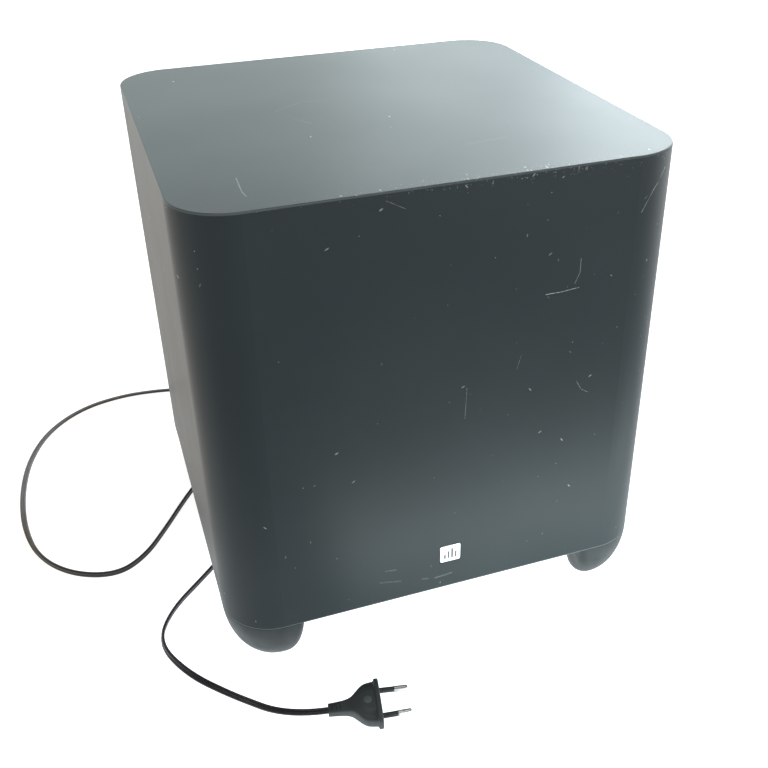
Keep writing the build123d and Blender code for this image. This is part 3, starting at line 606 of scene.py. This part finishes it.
def foot_ring(share, shrink=0.0):
    """The outline of the rear right foot, the outer corner first, going round."""
    curve = tuck(TUCK_OUT, share, 1.81)
    outer = HALF - curve - shrink
    inner = HALF - FOOT_SPAN + tuck(TUCK_IN, share, 1.37) + shrink
    side = outer - inner
    small = (4.0 + 4.8 * share) * MM
    large = min(CORNER_R - curve, side - small - 1.0 * MM)
    back = min((21.0 - 3.0 * share) * MM, side - small - 0.5 * MM)
    z = FOOT_H + (FOOT_BOTTOM - FOOT_H) * share
    outline = [
        *corner_arc(outer - large, outer - large, large, 0, 24),
        *corner_arc(inner + small, outer - small, small, 90, 8),
        *corner_arc(inner + back, inner + back, back, 180, 16),
        *corner_arc(outer - small, inner + small, small, 270, 8),
    ]
    return [Vector((x, y, z)) for x, y in outline]


def make_foot(name, side_x, side_y, finish):
    """A corner foot that curves in towards the floor, open below round its rubber pad."""
    lip, hole_r = 0.35 * MM, PAD_R + 0.2 * MM
    rings = [foot_ring(0.0, lip)]
    rings.append([p - Vector((0, 0, lip)) for p in foot_ring(0.0)])
    rings += [foot_ring(math.sin(math.radians(a))) for a in range(2, 91, 2)]
    edge = rings[-1]
    for z in (FOOT_BOTTOM, PAD_T):
        ring = []
        for p in edge:
            out = Vector((p.x - PAD_X, p.y - PAD_X, 0)).normalized() * hole_r
            ring.append(Vector((PAD_X + out.x, PAD_X + out.y, z)))
        rings.append(ring)
    turned = [[Vector((p.x * side_x, p.y * side_y, p.z)) for p in ring] for ring in rings]
    foot = new_piece(name, *skin(turned))
    return dress(foot, finish, "root", "foot_plastic", name.replace("_shaped", ""))


def make_pads(finish):
    """Four soft discs with rounded rims, one under each foot."""
    points, faces = [], []
    outline = [(0.0, 0.0), (PAD_R - 0.9 * MM, 0.0), (PAD_R - 0.3 * MM, 0.25 * MM), (PAD_R, 0.9 * MM)]
    outline += [(PAD_R, PAD_T)]
    steps = 40
    for side_x, side_y in ((1, 1), (-1, 1), (-1, -1), (1, -1)):
        rings = []
        for radius, z in outline[1:]:
            angles = [2 * math.pi * k / steps for k in range(steps)]
            x, y = side_x * PAD_X, side_y * PAD_X
            rings.append([(x + radius * math.cos(a), y + radius * math.sin(a), z) for a in angles])
        more, quads = skin(rings)
        faces += [tuple(i + len(points) for i in face) for face in quads]
        points += more
    pads = new_piece("rubber_pads", points, faces)
    dress(pads, finish, "root", "pad_rubber", "foot_pads")


# ---- driver ----
SEAT_Z = 45.0
CONE_LIP = SEAT_Z + 3.6
LIP_Z = SEAT_Z - 2.45
ROLL_LOW = SEAT_Z - 5.3
ROLL_R = 80.0
CONE_R = 72.0
RUBBER = 0.45


def surround_height(r):
    """Middle of the rubber at radius r, in millimetres: a lip, a hanging roll, a rising leg."""
    if r >= 87.0:
        return LIP_Z
    if r >= ROLL_R:
        return ROLL_LOW + (LIP_Z - ROLL_LOW) * (1 - math.cos((r - ROLL_R) / 7 * math.pi)) / 2
    if r >= CONE_R:
        return ROLL_LOW + (CONE_LIP - 0.5 - ROLL_LOW) * (1 - math.cos((ROLL_R - r) / 8 * math.pi)) / 2
    return CONE_LIP - 0.5


def surround_part(name, inner, outer, finish):
    """The rubber between two radii."""
    count = int((outer - inner) * 2)
    radii = [inner + (outer - inner) * k / count for k in range(count + 1)]
    lower = [(r, surround_height(r) - RUBBER) for r in radii]
    upper = [(r, surround_height(r) + RUBBER) for r in reversed(radii)]
    piece = lathe(name, lower + upper, steps=144)
    finish.on(piece)
    return piece


def make_cone(finish):
    """The paper cone: a sloping wall with pressed rings, and a flat lip."""
    neck_r, wall_r, neck_z, thick = 20.0, 66.0, SEAT_Z + 28.0, 1.2
    ring_height, ring_pitch = 0.28, 7.6
    slope = (neck_z - CONE_LIP) / (wall_r - neck_r)
    under = []
    for k in range(93):
        r = neck_r + 0.5 * k
        wave = ring_height * math.sin(2 * math.pi * (r - neck_r) / ring_pitch)
        ripple = wave * smoothstep(30, 34, r) * smoothstep(wall_r, 62, r)
        under.append((r, CONE_LIP + (wall_r - r) * slope + ripple))
    over = [(r, z + thick) for r, z in reversed(under)]
    lip = [(CONE_R, CONE_LIP), (CONE_R, CONE_LIP + thick)]
    cone = lathe("paper_cone", under + lip + over, steps=144)
    dress(cone, finish, "cone_assembly", "cone_paper", "cone")


def make_cap(finish):
    """The dust cap, a shallow dome."""
    ball, apex, rim, thick = 55.5, SEAT_Z + 13.6, 30.0, 1.0
    dome = []
    for k in range(1, 31):
        r = rim * k / 30
        dome.append((r, apex + ball - math.sqrt(ball * ball - r * r)))
    inside = [(r, z + thick) for r, z in reversed(dome)]
    cap = lathe("domed_cap", dome + inside, steps=96, closed=False)
    dress(cap, finish, "cone_assembly", "cone_paper", "dust_cap")


def make_surround(finish):
    """The rubber roll: an outer part that stays on the root body, and an inner part by the cone,
    attached to no body.
    """
    outer = surround_part("surround_outer", ROLL_R, 94.0, finish)
    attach(outer, "root")
    inner = surround_part("surround_inner", 68.0, ROLL_R, finish)
    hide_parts("surround")
    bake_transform(inner)


def make_spider(finish):
    """The corrugated cloth spring, in sectors that each stretch outward from the coil."""
    coil_r, clamp_r, half_t, rest_z = 20.0, 57.0, 0.4, SEAT_Z + 33.6
    wave_from, wave_to, half_wave, wave_height = 24, 44, 5, 1.5
    sectors, steps = 12, 12

    def height(r):
        wave = wave_height * math.sin((r - wave_from) / half_wave * math.pi)
        return rest_z + (wave if wave_from < r < wave_to else 0.0)

    radii = [coil_r, *(wave_from + 0.5 * k for k in range(41)), clamp_r]
    outline = [(r, height(r) - half_t) for r in radii]
    outline += [(r, height(r) + half_t) for r in reversed(radii)]
    for sector in range(sectors):
        rings = []
        for k in range(steps + 1):
            angle = 2 * math.pi * (sector - 0.5 + k / steps) / sectors
            across, along = math.cos(angle) * MM, math.sin(angle) * MM
            rings.append([Vector((r * across, r * along, z * MM)) for r, z in outline])
        piece = new_piece(f"spider_sector_{sector + 1}", *skin(rings))
        dress(piece, finish, None, "spider_cloth", "spider")
        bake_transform(piece)


# ---- rear panel ----
TRAY_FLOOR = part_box("level_nut")[0].y
KNOB_LOW, KNOB_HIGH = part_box("level_knob")
GLAND_LOW, GLAND_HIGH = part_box("cord_gland")


def slab(middle, across, upright, half_w, half_h, thick):
    """Points and faces of a thin block on a panel: half its size along two directions."""
    middle, across, upright = Vector(middle), Vector(across), Vector(upright)
    out = across.cross(upright).normalized()
    if out.y < 0:
        out = -out
    rings = []
    for lift in (0.0, thick):
        ring = []
        for a, b in ((-1, -1), (1, -1), (1, 1), (-1, 1)):
            ring.append(middle + across * half_w * a + upright * half_h * b + out * lift)
        rings.append(ring)
    return skin(rings)


def join_slabs(name, slabs):
    """One piece of several blocks."""
    points, faces = [], []
    for more, quads in slabs:
        faces += [tuple(i + len(points) for i in face) for face in quads]
        points += more
    return new_piece(name, points, faces)


def make_scale(finish):
    """Printed ticks round the level knob, longer at both ends and in the middle."""
    x = (KNOB_LOW.x + KNOB_HIGH.x) / 2
    z = (KNOB_LOW.z + KNOB_HIGH.z) / 2
    scale_r, half_width, thick = 11.0 * MM, 0.28 * MM, 0.08 * MM
    slabs = []
    for k in range(11):
        angle = math.radians(-150 + 30 * k)
        out = Vector((-math.sin(angle), 0, math.cos(angle)))
        side = Vector((math.cos(angle), 0, math.sin(angle)))
        reach = 1.5 * MM if k in (0, 5, 10) else 0.9 * MM
        middle = Vector((x, TRAY_FLOOR, z)) + out * (scale_r + reach)
        slabs.append(slab(middle, side, out, half_width, reach, thick))
    dress(join_slabs("level_scale", slabs), finish, "root", "slider_plastic")


def make_boot(finish):
    """The tapered strain relief, with ring grooves."""
    x, z = (GLAND_LOW.x + GLAND_HIGH.x) / 2, (GLAND_LOW.z + GLAND_HIGH.z) / 2
    inner, outer = GLAND_LOW.y / MM, GLAND_HIGH.y / MM
    panel = TRAY_FLOOR / MM
    outline = [(2.4, inner), (9, inner), (9, panel - 2.5), (5.9, panel - 2.5), (5.9, panel)]
    outline += [(8.4, panel), (9, panel + 0.6), (9, panel + 2.3), (8.2, panel + 3.0)]
    start, grooves, thick_r, thin_r = panel + 4.2, 8, 6.4, 3.9
    pitch = (outer - 1.0 - start) / grooves
    for k in range(grooves):
        y = start + k * pitch
        r = thick_r + (thin_r - thick_r) * k / grooves
        outline += [(r - 0.15, y - 0.2), (r, y + 0.15), (r - 0.05, y + pitch * 0.55)]
        outline += [(r - 0.75, y + pitch * 0.68), (r - 0.8, y + pitch * 0.86)]
    outline += [(3.5, outer - 0.5), (3.1, outer), (2.4, outer)]
    boot = lathe("cord_boot", outline, (x, 0, z), "Y", 64)
    return dress(boot, finish, "root", "cord_pvc", "cord_gland")


# ---- wadding ----
def make_wadding(finish):
    """A soft pad of fibre against the front wall: a crowned block with an uneven skin."""
    squareness, rows, steps, room_for_lumps = 5, 48, 120, 0.98
    low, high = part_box("acoustic_wadding")
    middle, half = (low + high) / 2, (high - low) / 2 * 0.96
    rings = []
    for i in range(1, rows):
        up = -1 + 2 * i / rows
        reach = (1 - abs(up) ** squareness) ** (1 / squareness)
        ring = []
        for k in range(steps):
            angle = 2 * math.pi * k / steps
            c, s = math.cos(angle), math.sin(angle)
            far = (abs(c) ** squareness + abs(s) ** squareness) ** (-1 / squareness)
            p = Vector((c * far * reach * half.x, s * far * reach * half.y, up * half.z))
            lump = noise.noise(p * 28) * 2.5 * MM + noise.noise(p * 90) * 0.8 * MM
            ring.append(middle + p * room_for_lumps + p.normalized() * lump)
        rings.append(ring)
    pad = new_piece("fibre_wadding", *skin(rings), sharp_over=180)
    dress(pad, finish, "root", "wadding", "acoustic_wadding")


# ---- mains lead ----
CORD_WIDTH = 4.6 * MM
CORD_THICK = 2.3 * MM
LAID = CORD_WIDTH / 2 + 0.1 * MM  # height of the route on the floor
FLOOR_GAP = 0.1 * MM
GLAND_EXIT = Vector(((GLAND_LOW.x + GLAND_HIGH.x) / 2, GLAND_HIGH.y, (GLAND_LOW.z + GLAND_HIGH.z) / 2))
PLUG_ANGLE, PLUG_ROLL = math.radians(-10.0), math.radians(7.0)
PLUG_ENTRY = Vector((-103.2, -203.9, 9.0)) * MM
PLUG_LENGTH = 34.0


def plug_place(u, v, w=0.0):
    """A point of the plug in millimetres: u along its pins, v to their left, w up."""
    along = Vector((math.cos(PLUG_ANGLE), math.sin(PLUG_ANGLE), 0))
    left = Matrix.Rotation(PLUG_ROLL, 3, along) @ Vector((-along.y, along.x, 0))
    return PLUG_ENTRY + (along * u + left * v + along.cross(left) * w) * MM


def laid(x, y, rise=0.0):
    """A point of the lead where it lies on the floor, from millimetres."""
    return Vector((x * MM, y * MM, LAID + rise * MM))


# Out of the boot, down behind the cabinet, one loose bend there, past its rear left corner,
# round to the left side, under the cabinet and back out, and forward to the plug.
ROUTE = [
    GLAND_EXIT,
    Vector((-62, 188, 118)) * MM,
    Vector((-60, 212, 108)) * MM,
    Vector((-56, 229, 86)) * MM,
    Vector((-50, 239, 57)) * MM,
    Vector((-40, 248, 30)) * MM,
    Vector((-24, 258, 9)) * MM,
    laid(4, 264),
    laid(34, 260),
    laid(57, 241),
    laid(60, 213),
    laid(39, 194),
    laid(6, 189),
    laid(-30, 194),
    laid(-68, 207),
    laid(-108, 223),
    laid(-150, 235),
    laid(-190, 239),
    laid(-230, 229),
    laid(-262, 200),
    laid(-280, 158),
    laid(-287, 110),
    laid(-286, 62),
    laid(-276, 20),
    laid(-252, -9),
    laid(-220, -21),
    laid(-197, -7),
    laid(-177, 22),
    laid(-156, 56),
    laid(-133, 87),
    laid(-104, 92),
    laid(-84, 70),
    laid(-84, 38),
    laid(-103, 9),
    laid(-129, -16),
    laid(-158, -46),
    laid(-186, -73),
    laid(-199, -102),
    laid(-184, -136),
    laid(-158, -165, 0.2),
    plug_place(-27, 0),
    plug_place(0, 0),
]
# Where the flat lead stands on edge: (metres from the boot, degrees from lying flat).
TWIST = [(0.0, 0), (0.16, 0), (0.24, 80), (0.36, 80), (0.44, 10), (0.74, 0), (0.82, 84)]
TWIST += [(1.20, 86), (1.27, 80), (1.36, 9), (1.50, 7)]


def route_line():
    """The points of a smooth curve through the route."""
    data = bpy.data.curves.new("route", "CURVE")
    data.dimensions = "3D"
    spline = data.splines.new("NURBS")
    spline.points.add(len(ROUTE) - 1)
    for point, place in zip(spline.points, ROUTE):
        point.co = (*place, 1.0)
    spline.order_u = 3
    spline.use_endpoint_u = True
    data.resolution_u = 12
    carrier = bpy.data.objects.new("route", data)
    mesh = bpy.data.meshes.new_from_object(carrier)
    line = [v.co.copy() for v in mesh.vertices]
    bpy.data.objects.remove(carrier)
    bpy.data.curves.remove(data)
    bpy.data.meshes.remove(mesh)
    return line


def twist_at(distance):
    """The lead's angle from lying flat, in radians, at a distance from the boot."""
    for (a, from_angle), (b, to_angle) in zip(TWIST, TWIST[1:]):
        if distance <= b:
            return math.radians(from_angle + (to_angle - from_angle) * smoothstep(a, b, distance))
    return math.radians(TWIST[-1][1])


def flat_section():
    """Half-round edges, flat faces and a shallow groove between the two cores."""
    straight, round_r, steps = (CORD_WIDTH - CORD_THICK) / 2, CORD_THICK / 2, 8
    outline = []
    for side in (1, -1):
        for k in range(steps + 1):
            angle = math.radians(-90 + 180 * k / steps)
            across = side * (straight + round_r * math.cos(angle))
            outline.append((across, side * round_r * math.sin(angle)))
        outline.append((side * 0.35 * MM, side * (round_r - 0.03 * MM)))
        outline.append((0.0, side * (round_r - 0.22 * MM)))
        outline.append((-side * 0.35 * MM, side * (round_r - 0.03 * MM)))
    return outline


def make_cord(finish):
    """The flat twin lead along its route, lowered onto the floor where it lies."""
    line = route_line()
    section = flat_section()
    straight = (CORD_WIDTH - CORD_THICK) / 2
    centres, rings, distance = [], [], 0.0
    for k, point in enumerate(line):
        before, after = line[max(0, k - 1)], line[min(len(line) - 1, k + 1)]
        ahead = (after - before).normalized()
        distance += (point - before).length
        twist = twist_at(distance)
        across = Vector((0, 0, 1)).cross(ahead).normalized()
        up = ahead.cross(across)
        wide = across * math.cos(twist) + up * math.sin(twist)
        thin = ahead.cross(wide)
        rest = FLOOR_GAP + CORD_THICK / 2 + straight * abs(math.sin(twist))
        on_floor = smoothstep(4 * MM, 0, point.z - LAID)
        centre = point + Vector((0, 0, (rest - LAID) * on_floor))
        centres.append(centre)
        rings.append([centre + wide * a + thin * b for a, b in section])
    cord = new_piece("flat_mains_lead", *skin(rings))
    dress(cord, finish, "root", "cord_pvc", "mains_cord")


# ---- plug ----
FLANGE_START = 31.2
SLOTS = (2.4, 4.8, 7.2)
# Half the plug's width and half its height at stations along it, all in millimetres.
PLUG_WIDTHS = [(0, 3.6), (6, 4.0), (11, 4.5), (15, 5.8), (18, 8.4), (21, 11.6), (24, 13.7)]
PLUG_WIDTHS += [(28, 14.6), (31.2, 14.9)]
PLUG_HEIGHTS = [(0, 3.1), (8, 3.4), (13, 4.0), (18, 5.3), (22, 6.0), (31.2, 6.3)]


def through(stations, at):
    """A smooth curve through stations of (place, value)."""
    def slope(k):
        low, high = stations[max(0, k - 1)], stations[min(len(stations) - 1, k + 1)]
        return (high[1] - low[1]) / (high[0] - low[0])

    for k, ((a, start), (b, end)) in enumerate(zip(stations, stations[1:])):
        if at <= b:
            t = (at - a) / (b - a)
            out, back = slope(k) * (b - a), slope(k + 1) * (b - a)
            bend = (out * (1 - t) - back * t) * t * (1 - t)
            return start + (end - start) * (3 - 2 * t) * t * t + bend
    return stations[-1][1]


def plug_half_width(u):
    """Half the plug's width at u, with the flange at its front end."""
    return through(PLUG_WIDTHS, u) + 1.5 * smoothstep(FLANGE_START - 0.9, FLANGE_START + 0.3, u)


def plug_half_height(u):
    """Half the plug's height at u, with the flange at its front end."""
    return through(PLUG_HEIGHTS, u) + 0.55 * smoothstep(FLANGE_START - 0.8, FLANGE_START, u)


def plug_profile(share, u):
    """Height of the top skin at a share of the half width, as a share of the half height."""
    boxed = (1 - share**4.5) ** (1 / 4.5)
    step = 1 - 0.26 * smoothstep(0.56, 0.68, share)
    shouldered = step * (1 - share**6) ** (1 / 6)
    mix = smoothstep(17, 23, u) * smoothstep(FLANGE_START, FLANGE_START - 1.5, u)
    return boxed + (shouldered - boxed) * mix


def plug_slot(u, share):
    """Depth of the strain relief's cross slots."""
    depth = 0.0
    for place in SLOTS:
        depth = max(depth, smoothstep(0.75, 0.4, abs(u - place)))
    return 0.7 * depth * smoothstep(0.62, 0.5, share)


def make_plug(finish):
    """The moulded plug body, skinned over stations that crowd at its ends and its flange."""
    steps, edge_r = 28, 0.8
    along = [0.0, 0.12, 0.4]
    along += [0.8 + 0.4 * k for k in range(int((FLANGE_START - 1.4 - 0.8) / 0.4))]
    along += [FLANGE_START - 1.2 + 0.2 * k for k in range(9)]
    along += [PLUG_LENGTH - back for back in (1.1, 0.8, 0.6, 0.25, 0.07, 0.0)]
    rings = []
    for u in along:
        ease = min(1.0, 0.86 + 0.14 * math.sqrt(min(1.0, u / 0.4)))
        end = max(0.0, u - PLUG_LENGTH + edge_r) / edge_r
        inset = edge_r * (1 - math.sqrt(max(0.0, 1 - end * end)))
        half_w = (plug_half_width(u) - inset) * ease
        half_h = (plug_half_height(u) - inset) * ease
        upper, lower = [], []
        for k in range(steps + 1):
            v = math.cos(math.pi * k / steps)
            share = abs(v)
            w = half_h * plug_profile(share, u) - plug_slot(u, share)
            upper.append(plug_place(u, v * half_w, w))
            lower.append(plug_place(u, -v * half_w, -w))
        rings.append(upper[:-1] + lower[:-1])
    body = new_piece("moulded_plug", *skin(rings), sharp_over=50)
    return dress(body, finish, "root", "plug_pvc", "plug_body")


def make_plug_mark(finish):
    """A plain raised disc on the plug's upper face."""
    middle_u, face_w, steps = 25.5, 6.1, 40
    rings = []
    for radius, lift in ((2.7, -0.4), (2.7, 0.12), (2.45, 0.22)):
        ring = []
        for k in range(steps):
            angle = 2 * math.pi * k / steps
            u = middle_u + radius * math.cos(angle)
            ring.append(plug_place(u, radius * math.sin(angle), face_w + lift))
        rings.append(ring)
    return dress(new_piece("plug_disc", *skin(rings)), finish, "root", "plug_pvc")


# ---- materials of the carried-over CAD nodes ----
def finish_nodes(cabinet):
    """The material of each CAD node that stays as it is, shared where the stuff is the same."""
    board = woven("board", (0.022, 0.021, 0.020), 0.6 * MM, 0.85)
    panel = moulded("panel_paint", (0.020, 0.020, 0.021), 0.5, 1800, 0.09)
    black_metal = metal("black_screw", (0.05, 0.05, 0.052), 0.38)
    zinc = metal("zinc", (0.60, 0.60, 0.57), 0.3)
    copper = metal("copper", (0.70, 0.36, 0.18), 0.28, (1.0, 1.0, 12.0))
    plain_black = moulded("black_moulding", (0.018, 0.018, 0.018), 0.45)
    circuit = moulded("circuit_board", (0.015, 0.11, 0.04), 0.3, 600, 0.03)
    circuit.mottle(260, (0.30, 0.26, 0.10), 0.62, 0.66)
    laminate = metal("transformer_core", (0.10, 0.09, 0.085), 0.5, (0.2, 30.0, 0.2))
    finishes = {
        cabinet: ["cabinet_shell"],
        board: ["bottom_baffle", "baffle_battens"],
        black_metal: ["baffle_screws", "woofer_screws", "panel_screws"],
        zinc: ["foot_screws", "front_plate", "pole_yoke", "level_pot", "level_nut", "level_shaft"],
        metal("badge_metal", (0.76, 0.78, 0.79), 0.34, (0.05, 1.0, 1.0)): ["badge_plate"],
        moulded("badge_ink", (0.10, 0.105, 0.11), 0.5): ["badge_mark"],
        moulded("basket_paint", (0.016, 0.016, 0.016), 0.42, 900, 0.08): ["woofer_basket"],
        moulded("gasket_foam", (0.022, 0.022, 0.022), 0.95, 500, 0.25): [
            "woofer_gasket",
            "panel_gasket",
        ],
        moulded("ferrite", (0.045, 0.045, 0.05), 0.55, 700, 0.12): ["magnet_ring"],
        metal("former_foil", (0.72, 0.72, 0.71), 0.25, (1.0, 1.0, 20.0)): ["coil_former"],
        copper: ["voice_coil", "output_inductors"],
        moulded("terminal_card", (0.30, 0.17, 0.07), 0.7): ["woofer_terminal"],
        moulded("wire_jacket", (0.32, 0.02, 0.02), 0.35): ["speaker_lead"],
        moulded("port_plastic", (0.017, 0.017, 0.017), 0.4): ["port_tube"],
        panel: ["amp_panel"],
        moulded("chamber_plastic", (0.03, 0.03, 0.03), 0.6): ["amp_chamber"],
        circuit: ["amp_board", "control_board"],
        metal("standoff_metal", (0.66, 0.55, 0.26), 0.3): ["board_standoffs"],
        laminate: ["power_transformer"],
        moulded("capacitor_sleeve", (0.02, 0.028, 0.075), 0.3): ["filter_capacitors"],
        metal("heatsink_metal", (0.09, 0.09, 0.09), 0.45): ["heatsink"],
        clear("fuse_glass", (0.85, 0.9, 0.9)): ["mains_fuse"],
        plain_black: ["rocker_housing", "phase_switch_body", "pairing_switch"],
        moulded("rocker_plastic", (0.014, 0.014, 0.015), 0.3): ["power_rocker"],
        moulded("slider_plastic", (0.62, 0.62, 0.60), 0.5): ["phase_slider"],
        moulded("knob_plastic", (0.018, 0.018, 0.018), 0.55): ["level_knob"],
        moulded("button_plastic", (0.07, 0.07, 0.072), 0.5): ["pairing_button"],
        clear("light_lens", (0.80, 0.92, 0.86), 0.25): ["status_light"],
        moulded("sleeve_plastic", (0.020, 0.020, 0.021), 0.4): ["plug_sleeves"],
        metal("pin_metal", (0.44, 0.43, 0.42), 0.34): ["plug_pins"],
    }
    for finish, names in finishes.items():
        finish.on(*(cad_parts[name] for name in names))


make_camera()
make_sky()
make_lights()
make_floor()

cabinet = cabinet_finish()
finish_nodes(cabinet)
foot_finish = moulded("foot_plastic", (0.020, 0.026, 0.027), 0.44, 1500, 0.05)
foot_finish.shader.inputs["IOR"].default_value = 1.38
for foot_name, side_x, side_y in (
    ("foot_front_left", -1, -1),
    ("foot_front_right", 1, -1),
    ("foot_rear_left", -1, 1),
    ("foot_rear_right", 1, 1),
):
    make_foot(foot_name + "_shaped", side_x, side_y, foot_finish)
make_pads(moulded("pad_rubber", (0.014, 0.014, 0.014), 0.8))
make_cone(woven("cone_paper", (0.024, 0.024, 0.025), 0.9 * MM, 0.8))
make_cap(moulded("cap_paper", (0.020, 0.020, 0.021), 0.5, 500, 0.08))
make_surround(moulded("surround_rubber", (0.014, 0.014, 0.015), 0.42, 700, 0.06))
make_spider(woven("spider_cloth", (0.55, 0.40, 0.16), 0.7 * MM))
cord_pvc = moulded("cord_pvc", (0.034, 0.029, 0.032), 0.4, 1200, 0.05)
plug_pvc = moulded("plug_pvc", (0.052, 0.060, 0.060), 0.55, 1300, 0.06)
make_scale(moulded("scale_print", (0.60, 0.60, 0.58), 0.7))
make_wadding(woven("wadding", (0.80, 0.80, 0.77), 1.4 * MM))
boot = make_boot(cord_pvc)
plug = make_plug(plug_pvc)
disc = make_plug_mark(moulded("disc_pvc", (0.11, 0.125, 0.122), 0.55))
make_cord(cord_pvc)
